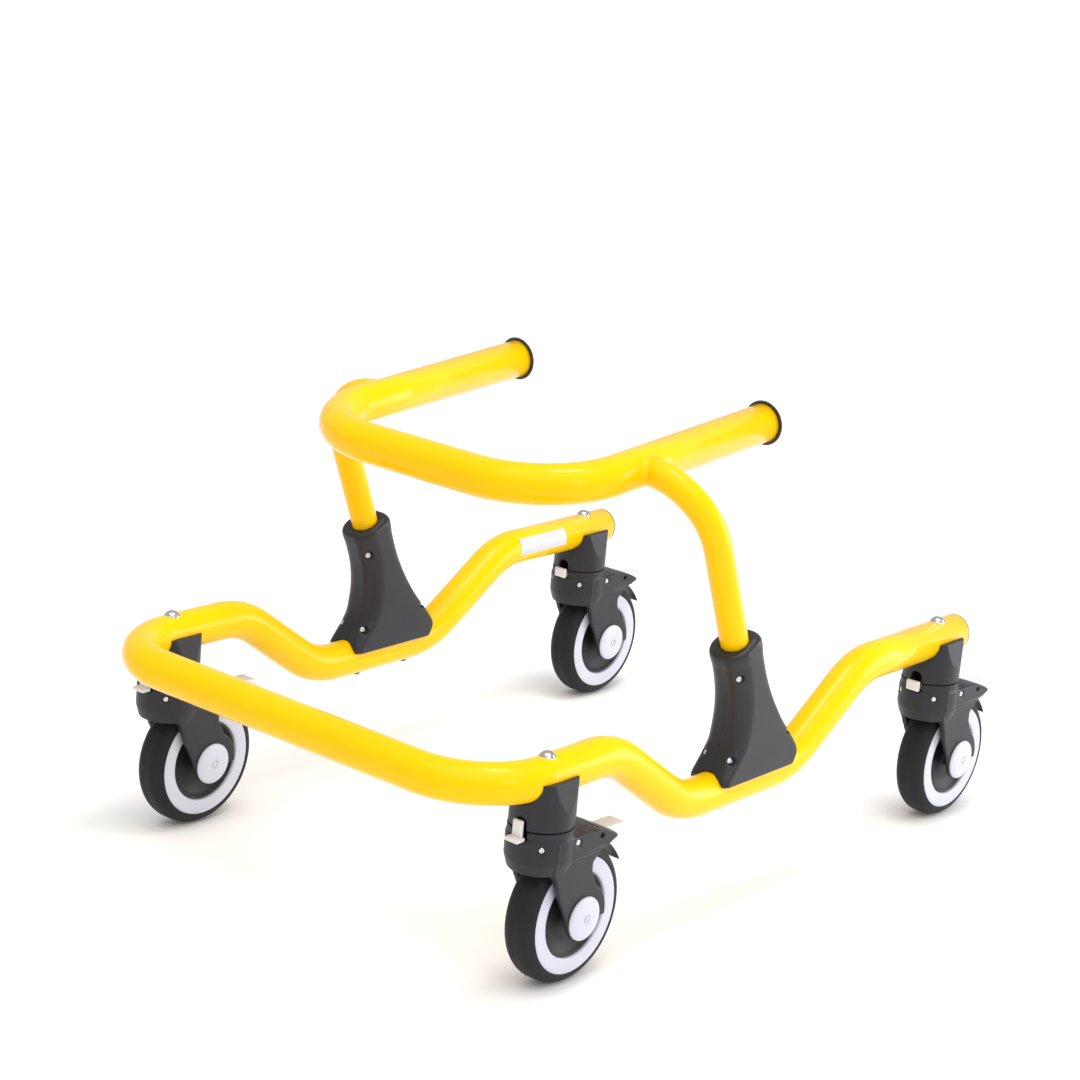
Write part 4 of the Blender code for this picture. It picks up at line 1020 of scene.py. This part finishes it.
def add_label():
    """A blank sticker wrapped over the right rail near its rear end."""
    tubes = bpy.context.scene.walker_tubes
    bm = bmesh.new()
    bmesh.ops.create_grid(bm, x_segments=24, y_segments=24, size=0.5)
    start, length = 174 * MM, 74 * MM
    low, high = math.radians(-14), math.radians(46)
    radius = tubes.radius + 0.12 * MM
    for vert in bm.verts:
        angle = low + (vert.co.x + 0.5) * (high - low)
        vert.co = (-TRACK / 2 + radius * math.cos(angle), start + (vert.co.y + 0.5) * length,
                   HIGH_Z + radius * math.sin(angle))
    piece("blank_label", mended(bm), label_paper(), "frame")


# ------------------------------------------------------------------ stage

def area_light(name, place, aim, size, power, colour=(1, 1, 1)):
    """A soft square light that looks at a point."""
    light = bpy.data.lights.new(name, "AREA")
    light.shape = "SQUARE"
    light.size = size
    light.energy = power
    light.color = colour
    item = bpy.data.objects.new(name, light)
    item.location = place
    item.rotation_euler = (Vector(aim) - Vector(place)).to_track_quat("-Z", "Y").to_euler()
    bpy.context.scene.collection.objects.link(item)


def add_floor():
    """A plain pale floor."""
    stage = bpy.context.scene.walker_stage
    bm = bmesh.new()
    bmesh.ops.create_grid(bm, x_segments=2, y_segments=2, size=12)
    mesh = bpy.data.meshes.new("floor")
    bm.to_mesh(mesh)
    bm.free()
    mesh.materials.append(finish("floor_pale", stage.floor_colour, 0.7, mottle=0.005,
                                 mottle_scale=1.5, grain_scale=300.0, grain_depth=0.01))
    floor = bpy.data.objects.new("floor", mesh)
    floor.location.z = -0.3 * MM
    bpy.context.scene.collection.objects.link(floor)
    floor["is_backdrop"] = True


def add_camera():
    """A camera at the usual three-quarter view."""
    stage = bpy.context.scene.walker_stage
    azimuth, elevation, roll = stage.azimuth, stage.elevation, stage.roll
    back = Vector((math.sin(azimuth) * math.cos(elevation), -math.cos(azimuth) * math.cos(elevation),
                   math.sin(elevation)))
    right = Vector((math.cos(azimuth), math.sin(azimuth), 0))
    up = back.cross(right)
    level = Matrix((right, up, back)).transposed()
    data = bpy.data.cameras.new("camera")
    data.lens = stage.lens
    data.sensor_width = 36
    data.clip_end = 50
    camera = bpy.data.objects.new("camera", data)
    camera.matrix_world = (Matrix.Translation(Vector(stage.aim) + back * stage.distance)
                           @ (level @ Matrix.Rotation(roll, 3, "Z")).to_4x4())
    bpy.context.scene.collection.objects.link(camera)
    bpy.context.scene.camera = camera


def add_stage():
    """Floor, studio lights and camera."""
    stage = bpy.context.scene.walker_stage
    add_floor()
    aim = (0, 0, 0.2)
    area_light("top_softbox", (0.3, 0.1, 2.1), aim, 0.5, stage.key_power)
    area_light("right_softbox", (2.5, -0.7, 1.3), aim, 0.6, stage.key_power * 0.8)
    area_light("rear_softbox", (1.7, 2.0, 0.45), aim, 1.5, stage.key_power * 4)
    sky = bpy.data.lights.new("sky", "SUN")
    sky.energy = stage.sky
    sky.angle = math.radians(70)
    overhead = bpy.data.objects.new("sky", sky)
    overhead.rotation_euler = (math.radians(12), math.radians(14), 0)
    bpy.context.scene.collection.objects.link(overhead)
    world = bpy.data.worlds.new("studio")
    world.use_nodes = True
    background = world.node_tree.nodes["Background"]
    background.inputs["Color"].default_value = (1, 1, 1, 1)
    background.inputs["Strength"].default_value = stage.surround
    bpy.context.scene.world = world
    bpy.context.scene.view_settings.view_transform = "Standard"
    add_camera()


# ------------------------------------------------------------------ add-on

def colour_property(name, description, default):
    """A colour for a property group."""
    return FloatVectorProperty(name=name, description=description, default=default,
                               subtype="COLOR", size=3, min=0, max=1)


def length_property(name, description, default):
    """A length for a property group."""
    return FloatProperty(name=name, description=description, default=default, unit="LENGTH", min=0)


class WalkerTubes(bpy.types.PropertyGroup):
    """Sizes and colour of the bent tubes"""

    radius: length_property("Tube radius", "Outside radius of the lower tube and the ring", 18 * MM)
    upright_radius: length_property("Upright radius", "Outside radius of the uprights", 13 * MM)
    wall: length_property("Wall", "Wall of the tubes", 2 * MM)
    sides: IntProperty(name="Sides", description="Faces round a tube", default=64, min=12)
    colour: colour_property("Powder coat", "Colour of the powder coat", (0.98, 0.57, 0.0))
    roughness: FloatProperty(name="Roughness", description="Roughness of the powder coat",
                             default=0.3, min=0, max=1)


class WalkerBrackets(bpy.types.PropertyGroup):
    """Sizes and colour of the moulded brackets"""

    half_width: length_property("Half width", "Half the width at the foot", 21.8 * MM)
    front_round: length_property("Front rounding", "Radius down the front edges", 15.5 * MM)
    rear_round: length_property("Rear rounding", "Radius down the rear edges", 4 * MM)
    fineness: length_property("Fineness", "Grid that the moulding is worked on", 1.0 * MM)
    colour: colour_property("Plastic", "Colour of the brackets", (0.018, 0.018, 0.023))


class WalkerCasters(bpy.types.PropertyGroup):
    """Sizes and colours of the casters"""

    wheel_radius: length_property("Wheel radius", "Rolling radius of the tyre", 62.5 * MM)
    fineness: length_property("Fineness", "Grid that the moulding is worked on", 0.95 * MM)
    shell_colour: colour_property("Shell", "Colour of adaptors and forks", (0.019, 0.019, 0.024))
    tread_colour: colour_property("Tread", "Colour of the tyres", (0.014, 0.014, 0.016))
    ring_colour: colour_property("Ring", "Colour of wheel rings and hub caps", (0.58, 0.59, 0.67))
    lever_colour: colour_property("Levers", "Colour of pedals and lock tabs", (0.72, 0.72, 0.73))


class WalkerStage(bpy.types.PropertyGroup):
    """Floor, lights and camera"""

    floor_colour: colour_property("Floor", "Colour of the floor", (0.98, 0.98, 0.98))
    key_power: FloatProperty(name="Key power", description="Power of the top light", default=9,
                             min=0, unit="POWER")
    sky: FloatProperty(name="Sky", description="Strength of the even light from above", default=1.6,
                       min=0)
    surround: FloatProperty(name="Surround", description="Strength of the white surround",
                            default=0.62, min=0)
    azimuth: FloatProperty(name="Azimuth", description="Bearing of the camera", subtype="ANGLE",
                           default=math.radians(38.7012))
    elevation: FloatProperty(name="Elevation", description="Height angle of the camera",
                             subtype="ANGLE", default=math.radians(16.0451))
    roll: FloatProperty(name="Roll", description="Tilt of the camera", subtype="ANGLE",
                        default=math.radians(4.8952))
    distance: length_property("Distance", "From the camera to what it looks at", 2570.65 * MM)
    lens: FloatProperty(name="Lens", description="Focal length", default=90.376, min=1,
                        unit="CAMERA")
    aim: FloatVectorProperty(name="Aim", description="What the camera looks at", size=3,
                             subtype="XYZ", unit="LENGTH",
                             default=(-35.854 * MM, -10.711 * MM, 279.249 * MM))


class WALKER_OT_tubes(bpy.types.Operator):
    """Bend the lower tube"""

    bl_idname = "walker.tubes"
    bl_label = "Lower tube"

    def execute(self, context):
        add_lower_tube()
        return {"FINISHED"}


class WALKER_OT_ring(bpy.types.Operator):
    """Bend the support ring and weld on its uprights"""

    bl_idname = "walker.ring"
    bl_label = "Support ring"

    def execute(self, context):
        add_upper_tubes()
        return {"FINISHED"}


class WALKER_OT_plugs(bpy.types.Operator):
    """Close the tube ends with plugs"""

    bl_idname = "walker.plugs"
    bl_label = "End plugs"

    def execute(self, context):
        add_end_plugs()
        return {"FINISHED"}


class WALKER_OT_brackets(bpy.types.Operator):
    """Mould the brackets"""

    bl_idname = "walker.brackets"
    bl_label = "Brackets"

    def execute(self, context):
        add_brackets()
        return {"FINISHED"}


class WALKER_OT_fasteners(bpy.types.Operator):
    """Fit the clamp screws and the saddle bolts"""

    bl_idname = "walker.fasteners"
    bl_label = "Bracket fasteners"

    def execute(self, context):
        add_bracket_screws()
        return {"FINISHED"}


class WALKER_OT_adaptors(bpy.types.Operator):
    """Fit the caster adaptors and their domed bolts"""

    bl_idname = "walker.adaptors"
    bl_label = "Caster adaptors"

    def execute(self, context):
        add_adaptors()
        return {"FINISHED"}


class WALKER_OT_forks(bpy.types.Operator):
    """Fit the forks, axles and hub caps"""

    bl_idname = "walker.forks"
    bl_label = "Forks"

    def execute(self, context):
        add_forks()
        return {"FINISHED"}


class WALKER_OT_brakes(bpy.types.Operator):
    """Fit the brake pedals, shoes and lock tabs"""

    bl_idname = "walker.brakes"
    bl_label = "Brakes and locks"

    def execute(self, context):
        add_brakes()
        return {"FINISHED"}


class WALKER_OT_wheels(bpy.types.Operator):
    """Fit the wheels"""

    bl_idname = "walker.wheels"
    bl_label = "Wheels"

    def execute(self, context):
        add_wheels()
        return {"FINISHED"}


class WALKER_OT_label(bpy.types.Operator):
    """Stick the blank label on the right rail"""

    bl_idname = "walker.label"
    bl_label = "Blank label"

    def execute(self, context):
        add_label()
        return {"FINISHED"}


class WALKER_OT_stage(bpy.types.Operator):
    """Set up the floor, the lights and the camera"""

    bl_idname = "walker.stage"
    bl_label = "Stage"

    def execute(self, context):
        add_stage()
        return {"FINISHED"}


GROUPS = (("walker_tubes", WalkerTubes), ("walker_brackets", WalkerBrackets),
          ("walker_casters", WalkerCasters), ("walker_stage", WalkerStage))
OPERATORS = (WALKER_OT_tubes, WALKER_OT_ring, WALKER_OT_plugs, WALKER_OT_brackets,
             WALKER_OT_fasteners, WALKER_OT_adaptors, WALKER_OT_forks, WALKER_OT_brakes,
             WALKER_OT_wheels, WALKER_OT_label, WALKER_OT_stage)


class WALKER_PT_panel(bpy.types.Panel):
    """The walker's sizes and steps in the sidebar"""

    bl_idname = "WALKER_PT_panel"
    bl_label = "Wheeled walker"
    bl_space_type = "VIEW_3D"
    bl_region_type = "UI"
    bl_category = "Walker"

    def draw(self, context):
        for name, group in GROUPS:
            box = self.layout.box()
            for prop in group.__annotations__:
                box.prop(getattr(context.scene, name), prop)
        for operator in OPERATORS:
            self.layout.operator(operator.bl_idname)


def register():
    """Registers the groups, the operators and the panel."""
    for name, group in GROUPS:
        bpy.utils.register_class(group)
        setattr(bpy.types.Scene, name, PointerProperty(type=group))
    for operator in OPERATORS:
        bpy.utils.register_class(operator)
    bpy.utils.register_class(WALKER_PT_panel)


def unregister():
    """Takes everything out again."""
    bpy.utils.unregister_class(WALKER_PT_panel)
    for operator in reversed(OPERATORS):
        bpy.utils.unregister_class(operator)
    for name, group in reversed(GROUPS):
        delattr(bpy.types.Scene, name)
        bpy.utils.unregister_class(group)


def main():
    """Makes every piece and the stage."""
    register()
    bpy.ops.walker.tubes()
    bpy.ops.walker.ring()
    bpy.ops.walker.plugs()
    bpy.ops.walker.brackets()
    bpy.ops.walker.fasteners()
    bpy.ops.walker.adaptors()
    bpy.ops.walker.forks()
    bpy.ops.walker.brakes()
    bpy.ops.walker.wheels()
    bpy.ops.walker.label()
    bpy.ops.walker.stage()
    boxes = {"cad": CAD_BOX, "visual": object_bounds()}
    {name: [list(corner) for corner in box] for name, box in boxes.items()}


if __name__ == "__main__":
    main()
